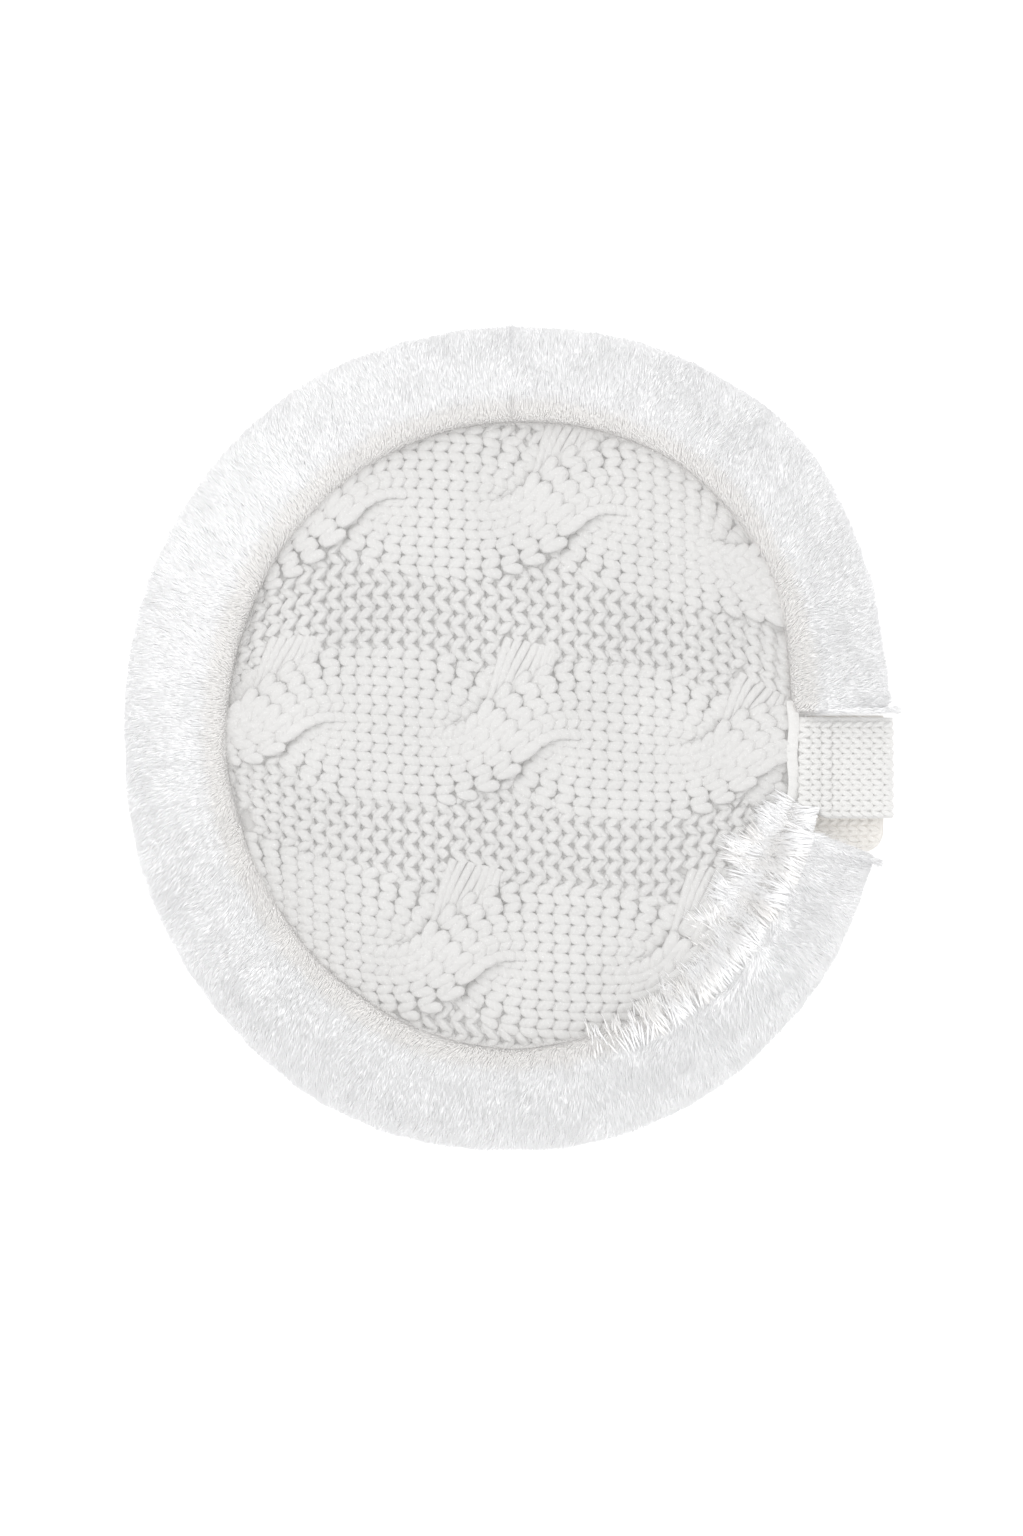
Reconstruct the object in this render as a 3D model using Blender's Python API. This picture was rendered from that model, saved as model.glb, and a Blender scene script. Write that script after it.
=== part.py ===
"""Mini tree skirt: a padded round of cable knit with a stuffed faux-fur roll sewn round its rim.

A straight slit runs from the trunk opening to the rim. The sector beside the slit is the flap, which
folds up about a line beside the trunk opening. A knit tab hinges on the flap's rim, bridges the gap
between the two ends of the fur roll, and snaps to the underlap below it.

Frame: metres, +Z up, the floor at Z = 0, the outline's bounding box centred on the origin. The slit
leaves towards +X, a little towards -Y, and the flap's fold line runs along +Y.
"""

import math

import bmesh
import bpy
from mathutils import Vector

# Overall outline: half widths over the fur roll, and the roll's width inside them.
RIM_HALF_X = 0.1790
RIM_HALF_Y = 0.1905
RIM_SQUARENESS = 2.1
ROLL_WIDTH = 0.0440
PANEL_SQUARENESS = 2.0
PANEL_CENTRE_X = 0.0020
PANEL_CENTRE_Y = 0.0020
PANEL_HALF_X = RIM_HALF_X - ROLL_WIDTH
PANEL_HALF_Y = RIM_HALF_Y - ROLL_WIDTH
PANEL_EDGE_X = PANEL_CENTRE_X + PANEL_HALF_X

# The soft outline isn't a true oval: it swells on one diagonal and draws in on the other.
SWELL_ANGLE = math.radians(46)
SWELL_SPREAD = math.radians(30)
SWELL_RIM = 0.0080
SWELL_PANEL = 0.0070
DRAW_IN_ANGLE = math.radians(225)
DRAW_IN_SPREAD = math.radians(30)
DRAW_IN_RIM = 0.0030
DRAW_IN_PANEL = 0.0025

# Layers, from the floor up.
GAP = 0.0003
LINING_THICK = 0.0015
KNIT_THICK = 0.0040
KNIT_EDGE_Z = 0.0130
KNIT_MID_Z = 0.0240
DOME_POWER = 4.0
WADDING_INSET = 0.0015

# Trunk opening, in everything under the knit, with a tape that lines its wall.
TRUNK_RADIUS = 0.0250
BINDING_THICK = 0.0012

# Slit and fold. The V above the fold axis lets the two halves of the roll close on each other.
SLIT_ANGLE = math.radians(-17)
SLIT_GAP = 0.0006
FOLD_Z = KNIT_MID_Z + 0.0005
NOTCH_ANGLE = math.radians(47)

# Fur roll: a tube of faux fur round a rope of filling, cut off on both sides of the tab.
ROLL_HEIGHT = 0.0340
ROLL_WALL = 0.0050
ROLL_SQUARENESS = 2.3
ROLL_SEAM_GAP = 0.0006
ROLL_START_ANGLE = math.radians(-4)
ROLL_FINISH_ANGLE = math.radians(348)
ROLL_END_UPPER_Y = 0.0130
ROLL_END_LOWER_ANGLE = SLIT_ANGLE - math.radians(1)
END_CAP_THICK = 0.0012
END_CAP_INSET = 0.0010

# Underlap, which lies under the flap's slit edge and, past the rim, under the tab. There it carries
# the knit tongue that the tab's press stud is sewn to. The facing backs the flap's slit edge.
UNDERLAP_THICK = 0.0015
UNDERLAP_UNDER_SKIRT = 0.0100
UNDERLAP_UNDER_FLAP = 0.0190
TONGUE_START_X = PANEL_EDGE_X + 0.0025
TONGUE_END_X = RIM_HALF_X - 0.0045
TONGUE_MARGIN = 0.0015
TONGUE_KNIT_THICK = 0.0032
TONGUE_CORNER = 0.0100
FACING_Z = 0.0056
FACING_THICK = 0.0015
FACING_END = PANEL_HALF_X - 0.0170

# Sew-on press studs: the stud half is on the underlap, the socket half above it.
STUD_RADIUS = 0.0060
STUD_THICK = 0.0008
KNOB_RADIUS = 0.0020
KNOB_HEIGHT = 0.0016
SOCKET_THICK = 0.0020
SOCKET_BORE = 0.0032
SNAP_OFFSET = UNDERLAP_UNDER_FLAP / 2
SNAP_INNER = TRUNK_RADIUS + 0.0330
SNAP_OUTER = PANEL_HALF_X - 0.0270
SNAP_SIDES = 20

# Closure tab, and the band that holds its gathered end down.
HEM = 0.0020
TAB_KNIT_THICK = 0.0036
TAB_LINING_THICK = 0.0010
TAB_BASE_X = PANEL_EDGE_X - 0.0027
TAB_FLAT_X = TAB_BASE_X + 0.0200
TAB_OUTER_X = RIM_HALF_X - 0.0003
TAB_LINING_START_X = TONGUE_START_X
TAB_END_RADIUS = 0.0075
TAB_BASE_WIDTH = 0.0395
TAB_WIDTH = 0.0465
TAB_Y_HIGH = ROLL_END_UPPER_Y - 0.0025
TAB_Y_LOW = TAB_Y_HIGH - TAB_WIDTH
TAB_BASE_Y_LOW = TAB_Y_HIGH - TAB_BASE_WIDTH
TAB_SNAP_X = TAB_OUTER_X - 0.0167
TAB_SNAP_Y = (TAB_Y_HIGH + TAB_BASE_Y_LOW) / 2
BAND_WIDTH = 0.0052
BAND_THICK = 0.0020
BAND_Y_LOW = TAB_BASE_Y_LOW - 0.0040
BAND_Y_HIGH = TAB_Y_HIGH + 0.0075

AROUND = 48
DOME_RINGS = (0.0, 0.45, 0.72, 0.87, 0.95, 1.0)
SECTION_POINTS = 14
FAR = 0.3


def clear_scene():
    for found in list(bpy.data.objects):
        bpy.data.objects.remove(found)


def material(name, colour, roughness, metallic=0.0):
    made = bpy.data.materials.new(name)
    made.use_nodes = True
    shader = made.node_tree.nodes["Principled BSDF"]
    shader.inputs["Base Color"].default_value = (*colour, 1)
    shader.inputs["Roughness"].default_value = roughness
    shader.inputs["Metallic"].default_value = metallic
    made.diffuse_color = (*colour, 1)
    return made


def add_object(name, mesh, finish):
    made = bpy.data.objects.new(name, mesh)
    bpy.context.scene.collection.objects.link(made)
    if finish is not None:
        made.data.materials.append(finish)
    return made


def mesh_of(points, faces):
    mesh = bpy.data.meshes.new("shape")
    mesh.from_pydata([tuple(point) for point in points], [], faces)
    work = bmesh.new()
    work.from_mesh(mesh)
    bmesh.ops.recalc_face_normals(work, faces=work.faces)
    work.to_mesh(mesh)
    work.free()
    return mesh


def smooth(target, angle=math.radians(40)):
    target.data.shade_smooth()
    target.data.set_sharp_from_angle(angle=angle)
    return target


def bulge(angle, centre, spread):
    away = math.remainder(angle - centre, 2 * math.pi)
    return math.exp(-((away / spread) ** 2))


def oval(angle, half_x, half_y, power):
    """The radius of a superellipse at an angle from its centre."""
    across = abs(math.cos(angle) / half_x) ** power
    along = abs(math.sin(angle) / half_y) ** power
    return (across + along) ** (-1 / power)


def panel_point(angle, share=1.0, outset=0.0):
    """A plan point of the knit round's outline, or at a share of the way out to it."""
    radius = oval(angle, PANEL_HALF_X, PANEL_HALF_Y, PANEL_SQUARENESS)
    radius += SWELL_PANEL * bulge(angle, SWELL_ANGLE, SWELL_SPREAD)
    radius -= DRAW_IN_PANEL * bulge(angle, DRAW_IN_ANGLE, DRAW_IN_SPREAD)
    radius = radius * share + outset
    return Vector((PANEL_CENTRE_X + radius * math.cos(angle), PANEL_CENTRE_Y + radius * math.sin(angle)))


def rim_point(angle):
    """A plan point of the fur roll's outer outline."""
    radius = oval(angle, RIM_HALF_X, RIM_HALF_Y, RIM_SQUARENESS)
    radius += SWELL_RIM * bulge(angle, SWELL_ANGLE, SWELL_SPREAD)
    radius -= DRAW_IN_RIM * bulge(angle, DRAW_IN_ANGLE, DRAW_IN_SPREAD)
    return Vector((radius * math.cos(angle), radius * math.sin(angle)))


def dome_z(share):
    """The height of the knit's top surface, a pillow that falls away at its rim."""
    fall = max(0.0, 1 - min(share, 1.0) ** DOME_POWER)
    return KNIT_EDGE_Z + (KNIT_MID_Z - KNIT_EDGE_Z) * math.sqrt(fall)


def share_at(x, y):
    """How far out a plan point lies, from 0 at the knit round's centre to 1 at its outline."""
    away = Vector((x - PANEL_CENTRE_X, y - PANEL_CENTRE_Y))
    edge = panel_point(math.atan2(away.y, away.x)) - Vector((PANEL_CENTRE_X, PANEL_CENTRE_Y))
    return away.length / edge.length


def round_slab(top_z, bottom_z, outset=0.0):
    """A closed slab with the knit round's outline. top_z and bottom_z give heights at a share."""
    angles = [2 * math.pi * i / AROUND for i in range(AROUND)]
    points = []
    for height in (top_z, bottom_z):
        for share in DOME_RINGS[1:]:
            for angle in angles:
                points.append((*panel_point(angle, share, outset * share), height(share)))
    rings = len(DOME_RINGS) - 1
    centres = len(points)
    points.append((PANEL_CENTRE_X, PANEL_CENTRE_Y, top_z(0)))
    points.append((PANEL_CENTRE_X, PANEL_CENTRE_Y, bottom_z(0)))
    faces = []
    for side in range(2):
        first = side * rings * AROUND
        for i in range(AROUND):
            after = (i + 1) % AROUND
            faces.append((centres + side, first + i, first + after))
            for ring in range(rings - 1):
                low = first + ring * AROUND
                faces.append((low + i, low + AROUND + i, low + AROUND + after, low + after))
    top_edge = (rings - 1) * AROUND
    bottom_edge = top_edge + rings * AROUND
    for i in range(AROUND):
        after = (i + 1) % AROUND
        faces.append((top_edge + i, bottom_edge + i, bottom_edge + after, top_edge + after))
    return mesh_of(points, faces)


def roll_section(angle, inset):
    """The roll's cross-section at an angle round the rim, drawn in by inset, as points in space."""
    inner = panel_point(angle, 1.0, ROLL_SEAM_GAP)
    outer = rim_point(angle)
    middle = (inner + outer) / 2
    outward = (outer - inner).normalized()
    half_width = (outer - inner).length / 2 - inset
    half_height = ROLL_HEIGHT / 2 - inset
    points = []
    for i in range(SECTION_POINTS):
        turn = 2 * math.pi * i / SECTION_POINTS
        radius = oval(turn, half_width, half_height, ROLL_SQUARENESS)
        plan = middle + outward * radius * math.cos(turn)
        points.append((plan.x, plan.y, ROLL_HEIGHT / 2 + radius * math.sin(turn)))
    return points


def roll_mesh(inset, hollow_inset=None):
    """The roll round the rim, with both ends past where the gap for the tab cuts it off."""
    steps = AROUND
    sweep = ROLL_FINISH_ANGLE - ROLL_START_ANGLE
    angles = [ROLL_START_ANGLE + sweep * i / steps for i in range(steps + 1)]
    outer = [roll_section(angle, inset) for angle in angles]
    points = [point for ring in outer for point in ring]
    count = SECTION_POINTS
    faces = []

    def skin(start):
        for ring in range(steps):
            for i in range(count):
                after = (i + 1) % count
                low = start + ring * count
                faces.append((low + i, low + after, low + count + after, low + count + i))

    skin(0)
    if hollow_inset is None:
        faces.append(tuple(range(count)))
        faces.append(tuple(range(steps * count, (steps + 1) * count)))
        return mesh_of(points, faces)
    inner_start = len(points)
    points += [point for angle in angles for point in roll_section(angle, hollow_inset)]
    skin(inner_start)
    for end in (0, steps * count):
        for i in range(count):
            after = (i + 1) % count
            faces.append((end + i, end + after, inner_start + end + after, inner_start + end + i))
    return mesh_of(points, faces)


def prism(name, outline, low, high, finish=None):
    """A closed prism over a plan outline. With no finish it is a cutter."""
    work = bmesh.new()
    corners = [work.verts.new((x, y, low)) for x, y in outline]
    base = work.faces.new(corners)
    grown = bmesh.ops.extrude_face_region(work, geom=[base])
    lifted = [item for item in grown["geom"] if isinstance(item, bmesh.types.BMVert)]
    bmesh.ops.translate(work, verts=lifted, vec=(0, 0, high - low))
    bmesh.ops.recalc_face_normals(work, faces=work.faces)
    mesh = bpy.data.meshes.new(name)
    work.to_mesh(mesh)
    work.free()
    made = add_object(name, mesh, finish)
    if finish is None:
        hide_cutter(made)
    return made


def hide_cutter(cutter):
    cutter.hide_render = True
    cutter.display_type = "WIRE"


def cut(target, cutter, operation="DIFFERENCE"):
    modifier = target.modifiers.new(cutter.name, "BOOLEAN")
    modifier.object = cutter
    modifier.operation = operation
    return target


def slit_point(along, aside=0.0):
    """A plan point at a distance along the slit from the panel's centre, and aside towards the flap."""
    x = PANEL_CENTRE_X + along * math.cos(SLIT_ANGLE) - aside * math.sin(SLIT_ANGLE)
    y = PANEL_CENTRE_Y + along * math.sin(SLIT_ANGLE) + aside * math.cos(SLIT_ANGLE)
    return x, y


def slit_meets_x(x, aside=0.0):
    """The y at which the line beside the slit crosses a given x."""
    start_x, start_y = slit_point(0, aside)
    return start_y + (x - start_x) * math.tan(SLIT_ANGLE)


def flap_zone(name, grow):
    """The plan region of the flap, from the fold line round to the slit, grown outwards by grow."""
    fold_x = PANEL_CENTRE_X - grow
    corner_y = slit_meets_x(fold_x, -grow)
    far_y = slit_meets_x(FAR, -grow)
    outline = [(fold_x, corner_y), (FAR, far_y), (FAR, FAR), (fold_x, FAR)]
    return prism(name, outline, -0.05, 0.1)


def strip_zone(name, low_aside, high_aside, low_z, high_z, start=-0.02, end=0.2):
    """A band beside the slit, for cutting layers back from it."""
    outline = [
        slit_point(start, low_aside),
        slit_point(end, low_aside),
        slit_point(end, high_aside),
        slit_point(start, high_aside),
    ]
    return prism(name, outline, low_z, high_z)


def drum(name, radius, low, high, centre=None, sides=AROUND, finish=None):
    """A round prism; by default it stands at the panel's centre."""
    x, y = centre or (PANEL_CENTRE_X, PANEL_CENTRE_Y)
    turns = [2 * math.pi * i / sides for i in range(sides)]
    outline = [(x + radius * math.cos(turn), y + radius * math.sin(turn)) for turn in turns]
    return prism(name, outline, low, high, finish)


def fold_notch(name):
    """A V above the fold axis, so that the two halves of the roll can close on each other."""
    depth = ROLL_HEIGHT + 0.01 - FOLD_Z
    spread = depth * math.tan(NOTCH_ANGLE)
    profile = [
        (PANEL_CENTRE_X, FOLD_Z),
        (PANEL_CENTRE_X + spread, FOLD_Z + depth),
        (PANEL_CENTRE_X - spread, FOLD_Z + depth),
    ]
    points = [(x, y, z) for y in (0.1, 0.25) for x, z in profile]
    faces = [(0, 1, 2), (3, 4, 5), (0, 1, 4, 3), (1, 2, 5, 4), (2, 0, 3, 5)]
    made = add_object(name, mesh_of(points, faces), None)
    hide_cutter(made)
    return made


def lower_end(back):
    """The lower side of the roll's gap in plan, near and far end, moved back into the roll."""
    along = Vector((math.cos(ROLL_END_LOWER_ANGLE), math.sin(ROLL_END_LOWER_ANGLE)))
    away = Vector((along.y, -along.x))
    return [tuple(along * reach + away * back) for reach in (0.10, 0.25)]


def upper_end(back):
    """The upper side of the roll's gap in plan, near and far end, moved back into the roll."""
    return [(0.10, ROLL_END_UPPER_Y + back), (0.25, ROLL_END_UPPER_Y + back)]


def block(name, low, high):
    outline = [(low[0], low[1]), (high[0], low[1]), (high[0], high[1]), (low[0], high[1])]
    return prism(name, outline, low[2], high[2])


def build_layers(wide, narrow, finishes):
    """The knit, its wadding and its lining, each in two pieces that meet at the fold and the slit."""
    wadding_bottom = LINING_THICK + GAP

    def knit_bottom(share):
        return dome_z(share) - KNIT_THICK

    def wadding_top(share):
        return knit_bottom(share) - GAP

    knit = round_slab(dome_z, knit_bottom)
    wadding = round_slab(wadding_top, lambda share: wadding_bottom, -WADDING_INSET)
    outline = [panel_point(2 * math.pi * i / AROUND) for i in range(AROUND)]
    hole = drum("trunk_hole", TRUNK_RADIUS + BINDING_THICK + GAP, -0.02, 0.1)
    recess = strip_zone(
        "flap_recess", -0.01, UNDERLAP_UNDER_FLAP + GAP, -0.02, FACING_Z + FACING_THICK + GAP
    )
    under_skirt = strip_zone(
        "underlap_room", -UNDERLAP_UNDER_SKIRT - GAP, 0.01, -0.02, UNDERLAP_THICK + GAP, TRUNK_RADIUS - 0.005
    )
    for prefix, zone, operation in (("", wide, "DIFFERENCE"), ("flap_", narrow, "INTERSECT")):
        panel = cut(add_object(prefix + "knit_panel", knit.copy(), finishes["knit"]), zone, operation)
        smooth(panel)
        padding = cut(add_object(prefix + "wadding", wadding.copy(), finishes["filling"]), zone, operation)
        backing = cut(prism(prefix + "lining", outline, 0.0, LINING_THICK, finishes["lining"]), zone, operation)
        for layer in (padding, backing):
            cut(layer, hole)
            cut(layer, recess if prefix else under_skirt)


def build_trunk_binding(wide, narrow, finish):
    """The tape that lines the trunk opening's wall, in two halves with the skirt and the flap."""
    top = KNIT_MID_Z - KNIT_THICK - 2 * GAP
    bore = drum("binding_bore", TRUNK_RADIUS, -0.02, 0.1)
    room = strip_zone("binding_underlap_room", -UNDERLAP_UNDER_SKIRT - GAP, 0.01, -0.02, UNDERLAP_THICK + GAP, 0.0)
    recess = strip_zone(
        "binding_recess", -0.01, UNDERLAP_UNDER_FLAP + GAP, -0.02, FACING_Z + FACING_THICK + GAP, 0.0
    )
    for name, zone, operation, relief in (
        ("trunk_binding", wide, "DIFFERENCE", room),
        ("flap_trunk_binding", narrow, "INTERSECT", recess),
    ):
        binding = drum(name, TRUNK_RADIUS + BINDING_THICK, 0.0, top, finish=finish)
        cut(binding, bore)
        cut(binding, zone, operation)
        cut(binding, relief)


def build_roll(wide, narrow, finishes):
    """The fur tube, its filling and the caps that close it on both sides of the tab's gap."""
    notch = fold_notch("fold_notch")
    cap_room = END_CAP_THICK + GAP
    gap = prism("tab_gap", lower_end(cap_room) + upper_end(cap_room)[::-1], -0.02, 0.1)
    upper = block("above_gap", (PANEL_CENTRE_X + SLIT_GAP / 2, 0.0, -0.02), (FAR, FAR, 0.1))
    lower = block("all_but_upper", (PANEL_CENTRE_X - SLIT_GAP / 2, 0.0, -0.02), (FAR, FAR, 0.1))
    shell = roll_mesh(0.0, ROLL_WALL)
    filling = roll_mesh(ROLL_WALL + GAP)
    for prefix, zone, operation in (("", lower, "DIFFERENCE"), ("flap_", upper, "INTERSECT")):
        for name, mesh, finish in (
            ("fur_trim", shell, finishes["fur"]),
            ("fur_trim_filling", filling, finishes["filling"]),
        ):
            piece = add_object(prefix + name, mesh.copy(), finish)
            cut(cut(cut(piece, gap), zone, operation), notch)
            smooth(piece)
    solid_roll = roll_mesh(END_CAP_INSET)
    for name, side in (("fur_trim_end_cap", lower_end), ("flap_fur_trim_end_cap", upper_end)):
        slab = prism(name + "_slab", side(0) + side(END_CAP_THICK)[::-1], -0.02, 0.1)
        cut(add_object(name, solid_roll.copy(), finishes["fur"]), slab, "INTERSECT")


def tongue_low_y(x):
    """The tongue's lower edge, beside the cut end of the roll."""
    return x * math.tan(ROLL_END_LOWER_ANGLE) + TONGUE_MARGIN / math.cos(ROLL_END_LOWER_ANGLE)


def tongue_outline(start_x):
    """The tongue in plan, with its lower outer corner rounded."""
    high_y = ROLL_END_UPPER_Y - TONGUE_MARGIN
    corner_x = TONGUE_END_X - TONGUE_CORNER
    corner_y = tongue_low_y(corner_x) + TONGUE_CORNER
    outline = [(start_x, tongue_low_y(start_x))]
    for i in range(7):
        turn = -math.pi / 2 * (1 - i / 6)
        outline.append((corner_x + TONGUE_CORNER * math.cos(turn), corner_y + TONGUE_CORNER * math.sin(turn)))
    return outline + [(TONGUE_END_X, high_y), (start_x, high_y)]


def build_underlap(finishes):
    """The strip under the slit, its knit tongue past the rim, and the facing on the flap's slit edge."""
    start = TRUNK_RADIUS + BINDING_THICK + 2 * GAP
    strip = [slit_point(start, UNDERLAP_UNDER_FLAP), slit_point(start, -UNDERLAP_UNDER_SKIRT)]
    shoulder = [(TONGUE_START_X, slit_meets_x(TONGUE_START_X, UNDERLAP_UNDER_FLAP))]
    outline = strip + tongue_outline(TONGUE_START_X) + shoulder
    prism("slit_underlap", outline, 0.0, UNDERLAP_THICK, finishes["tape"])
    low_z = UNDERLAP_THICK + GAP
    prism("tongue_knit", tongue_outline(TONGUE_START_X), low_z, low_z + TONGUE_KNIT_THICK, finishes["knit"])
    facing = [
        slit_point(start, SLIT_GAP),
        slit_point(FACING_END, SLIT_GAP),
        slit_point(FACING_END, UNDERLAP_UNDER_FLAP - GAP),
        slit_point(start, UNDERLAP_UNDER_FLAP - GAP),
    ]
    prism("flap_slit_facing", facing, FACING_Z, FACING_Z + FACING_THICK, finishes["tape"])


def build_snap(stud_name, socket_name, centre, stud_z, socket_z, finish):
    """One sew-on press stud: a plate with a knob below, and a ring that drops over the knob."""
    stud = drum(stud_name, STUD_RADIUS, stud_z, stud_z + STUD_THICK, centre, SNAP_SIDES, finish)
    knob_top = stud_z + STUD_THICK + KNOB_HEIGHT
    knob_low = stud_z + STUD_THICK / 2
    knob = drum(stud_name + "_knob", KNOB_RADIUS, knob_low, knob_top, centre, SNAP_SIDES // 2)
    cut(stud, knob, "UNION")
    socket = drum(socket_name, STUD_RADIUS, socket_z, socket_z + SOCKET_THICK, centre, SNAP_SIDES, finish)
    bore = drum(socket_name + "_bore", SOCKET_BORE, socket_z - 0.01, socket_z + 0.01, centre, SNAP_SIDES)
    cut(socket, bore)


def tab_heights():
    """The tab's snap and flat stretch, stacked up from the tongue: stud, socket, lining, knit top."""
    stud = UNDERLAP_THICK + TONGUE_KNIT_THICK + 2 * GAP
    socket = stud + STUD_THICK + GAP
    lining = socket + SOCKET_THICK + GAP
    top = lining + TAB_LINING_THICK + GAP + TAB_KNIT_THICK
    return stud, socket, top


def tab_axis_z():
    """The height of the tab's hinge line, just above the band's highest point."""
    band_x = TAB_BASE_X - GAP - BAND_WIDTH
    return dome_z(share_at(band_x, 0.0)) + BAND_THICK + 3 * GAP


def tab_profile():
    """The tab's top line in X and Z: down from the rim, flat over the tongue, and round its outer end."""
    top = tab_heights()[2]
    base_x = TAB_BASE_X + GAP
    base_z = tab_axis_z() - GAP
    line = []
    for i in range(8):
        step = i / 7
        x = base_x + (TAB_FLAT_X - base_x) * step
        line.append((x, top + (base_z - top) * (1 + math.cos(math.pi * step)) / 2))
    for i in range(7):
        turn = math.pi / 2 * (1 - i / 6)
        x = TAB_OUTER_X - TAB_END_RADIUS * (1 - math.cos(turn))
        line.append((x, top - TAB_END_RADIUS * (1 - math.sin(turn))))
    return line


def strip_over(line, inner, outer, low_y, high_y, base_low_y):
    """A closed strip along a line in X and Z, from one depth under the line to another."""
    normals = []
    for i in range(len(line)):
        before = Vector(line[max(i - 1, 0)])
        after = Vector(line[min(i + 1, len(line) - 1)])
        run = (after - before).normalized()
        normals.append(Vector((-run.y, run.x)))
    points = []
    for i, (x, z) in enumerate(line):
        normal = normals[i] if normals[i].y > 0 or i else -normals[i]
        spread = min(1.0, i / 5)
        low = base_low_y + (low_y - base_low_y) * spread
        for depth in (outer, inner):
            for y in (low, high_y):
                points.append((x - normal.x * depth, y, z - normal.y * depth))
    faces = [(0, 1, 3, 2)]
    for i in range(len(line) - 1):
        a = 4 * i
        b = a + 4
        faces += [(a, a + 1, b + 1, b), (a + 2, b + 2, b + 3, a + 3), (a, b, b + 2, a + 2), (a + 1, a + 3, b + 3, b + 1)]
    last = 4 * (len(line) - 1)
    faces.append((last, last + 1, last + 3, last + 2))
    return mesh_of(points, faces)


def build_tab(finishes):
    """The knit tab with its lining, and the band that holds its gathered end on the flap's rim."""
    line = tab_profile()
    knit = strip_over(line, TAB_KNIT_THICK, 0.0, TAB_Y_LOW, TAB_Y_HIGH, TAB_BASE_Y_LOW)
    smooth(add_object("tab_knit", knit, finishes["knit"]))
    under = TAB_KNIT_THICK + GAP
    covered = [point for point in line if point[0] > TAB_LINING_START_X]
    lining = strip_over(
        covered, under + TAB_LINING_THICK, under, TAB_Y_LOW + HEM, TAB_Y_HIGH - HEM, TAB_BASE_Y_LOW + HEM
    )
    smooth(add_object("tab_lining", lining, finishes["tape"]))
    columns = 5
    rows = 9
    high_x = TAB_BASE_X - GAP
    points = []
    for lift in (GAP, GAP + BAND_THICK):
        for row in range(rows):
            y = BAND_Y_LOW + (BAND_Y_HIGH - BAND_Y_LOW) * row / (rows - 1)
            for column in range(columns):
                x = high_x - BAND_WIDTH + BAND_WIDTH * column / (columns - 1)
                points.append((x, y, dome_z(share_at(x, y)) + lift))
    count = rows * columns
    faces = []
    for row in range(rows - 1):
        for column in range(columns - 1):
            a = row * columns + column
            quad = (a, a + 1, a + columns + 1, a + columns)
            faces += [quad, tuple(i + count for i in quad)]
    edge = list(range(columns)) + [r * columns + columns - 1 for r in range(1, rows)]
    edge += [(rows - 1) * columns + c for c in range(columns - 2, -1, -1)]
    edge += [r * columns for r in range(rows - 2, 0, -1)]
    for i, here in enumerate(edge):
        after = edge[(i + 1) % len(edge)]
        faces.append((here, after, after + count, here + count))
    add_object("tab_gather_band", mesh_of(points, faces), finishes["tape"])


def main():
    clear_scene()
    finishes = {
        "knit": material("cable_knit", (0.86, 0.85, 0.83), 0.9),
        "fur": material("faux_fur", (0.90, 0.90, 0.91), 0.95),
        "filling": material("fibre_filling", (0.88, 0.88, 0.87), 1.0),
        "lining": material("cotton_lining", (0.84, 0.83, 0.80), 0.85),
        "tape": material("woven_tape", (0.87, 0.86, 0.84), 0.8),
        "snap": material("plated_snap", (0.72, 0.72, 0.72), 0.3, 1.0),
    }
    wide = flap_zone("flap_zone_wide", SLIT_GAP / 2)
    narrow = flap_zone("flap_zone_narrow", -SLIT_GAP / 2)
    build_layers(wide, narrow, finishes)
    build_trunk_binding(wide, narrow, finishes["tape"])
    build_roll(wide, narrow, finishes)
    build_underlap(finishes)
    stud_z = UNDERLAP_THICK + GAP
    socket_z = FACING_Z - GAP - SOCKET_THICK
    for place, along in (("inner", SNAP_INNER), ("outer", SNAP_OUTER)):
        centre = slit_point(along, SNAP_OFFSET)
        build_snap("slit_stud_" + place, "slit_socket_" + place, centre, stud_z, socket_z, finishes["snap"])
    tab_stud_z, tab_socket_z, _ = tab_heights()
    build_snap("tab_stud", "tab_socket", (TAB_SNAP_X, TAB_SNAP_Y), tab_stud_z, tab_socket_z, finishes["snap"])
    build_tab(finishes)


main()
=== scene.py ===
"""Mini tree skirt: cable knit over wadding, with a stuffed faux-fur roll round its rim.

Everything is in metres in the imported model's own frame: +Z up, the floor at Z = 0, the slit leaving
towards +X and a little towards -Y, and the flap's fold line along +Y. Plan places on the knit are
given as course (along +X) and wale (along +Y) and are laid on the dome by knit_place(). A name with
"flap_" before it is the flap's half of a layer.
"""

import math

import bmesh
import bpy
import numpy as np
from bpy.props import FloatProperty, FloatVectorProperty, IntProperty, PointerProperty
from mathutils import Matrix, Vector, noise
from mathutils.kdtree import KDTree


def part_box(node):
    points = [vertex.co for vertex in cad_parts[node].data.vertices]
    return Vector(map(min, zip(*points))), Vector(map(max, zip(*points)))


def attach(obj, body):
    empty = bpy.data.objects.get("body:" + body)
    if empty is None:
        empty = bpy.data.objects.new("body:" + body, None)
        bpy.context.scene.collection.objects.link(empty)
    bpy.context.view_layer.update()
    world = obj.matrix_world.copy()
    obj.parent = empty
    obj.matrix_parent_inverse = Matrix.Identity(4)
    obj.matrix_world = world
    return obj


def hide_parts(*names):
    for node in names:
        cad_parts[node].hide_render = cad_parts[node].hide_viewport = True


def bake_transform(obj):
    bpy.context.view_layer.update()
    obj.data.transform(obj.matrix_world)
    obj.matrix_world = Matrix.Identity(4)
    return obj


bl_info = {
    "name": "Cable-Knit Tree Skirt",
    "version": (1, 0, 0),
    "blender": (4, 5, 0),
    "location": "View3D > Sidebar > Tree Skirt",
    "description": "Cable knit, fur pile, tab, press studs and studio for a padded tree skirt",
    "category": "Add Mesh",
}

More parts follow.
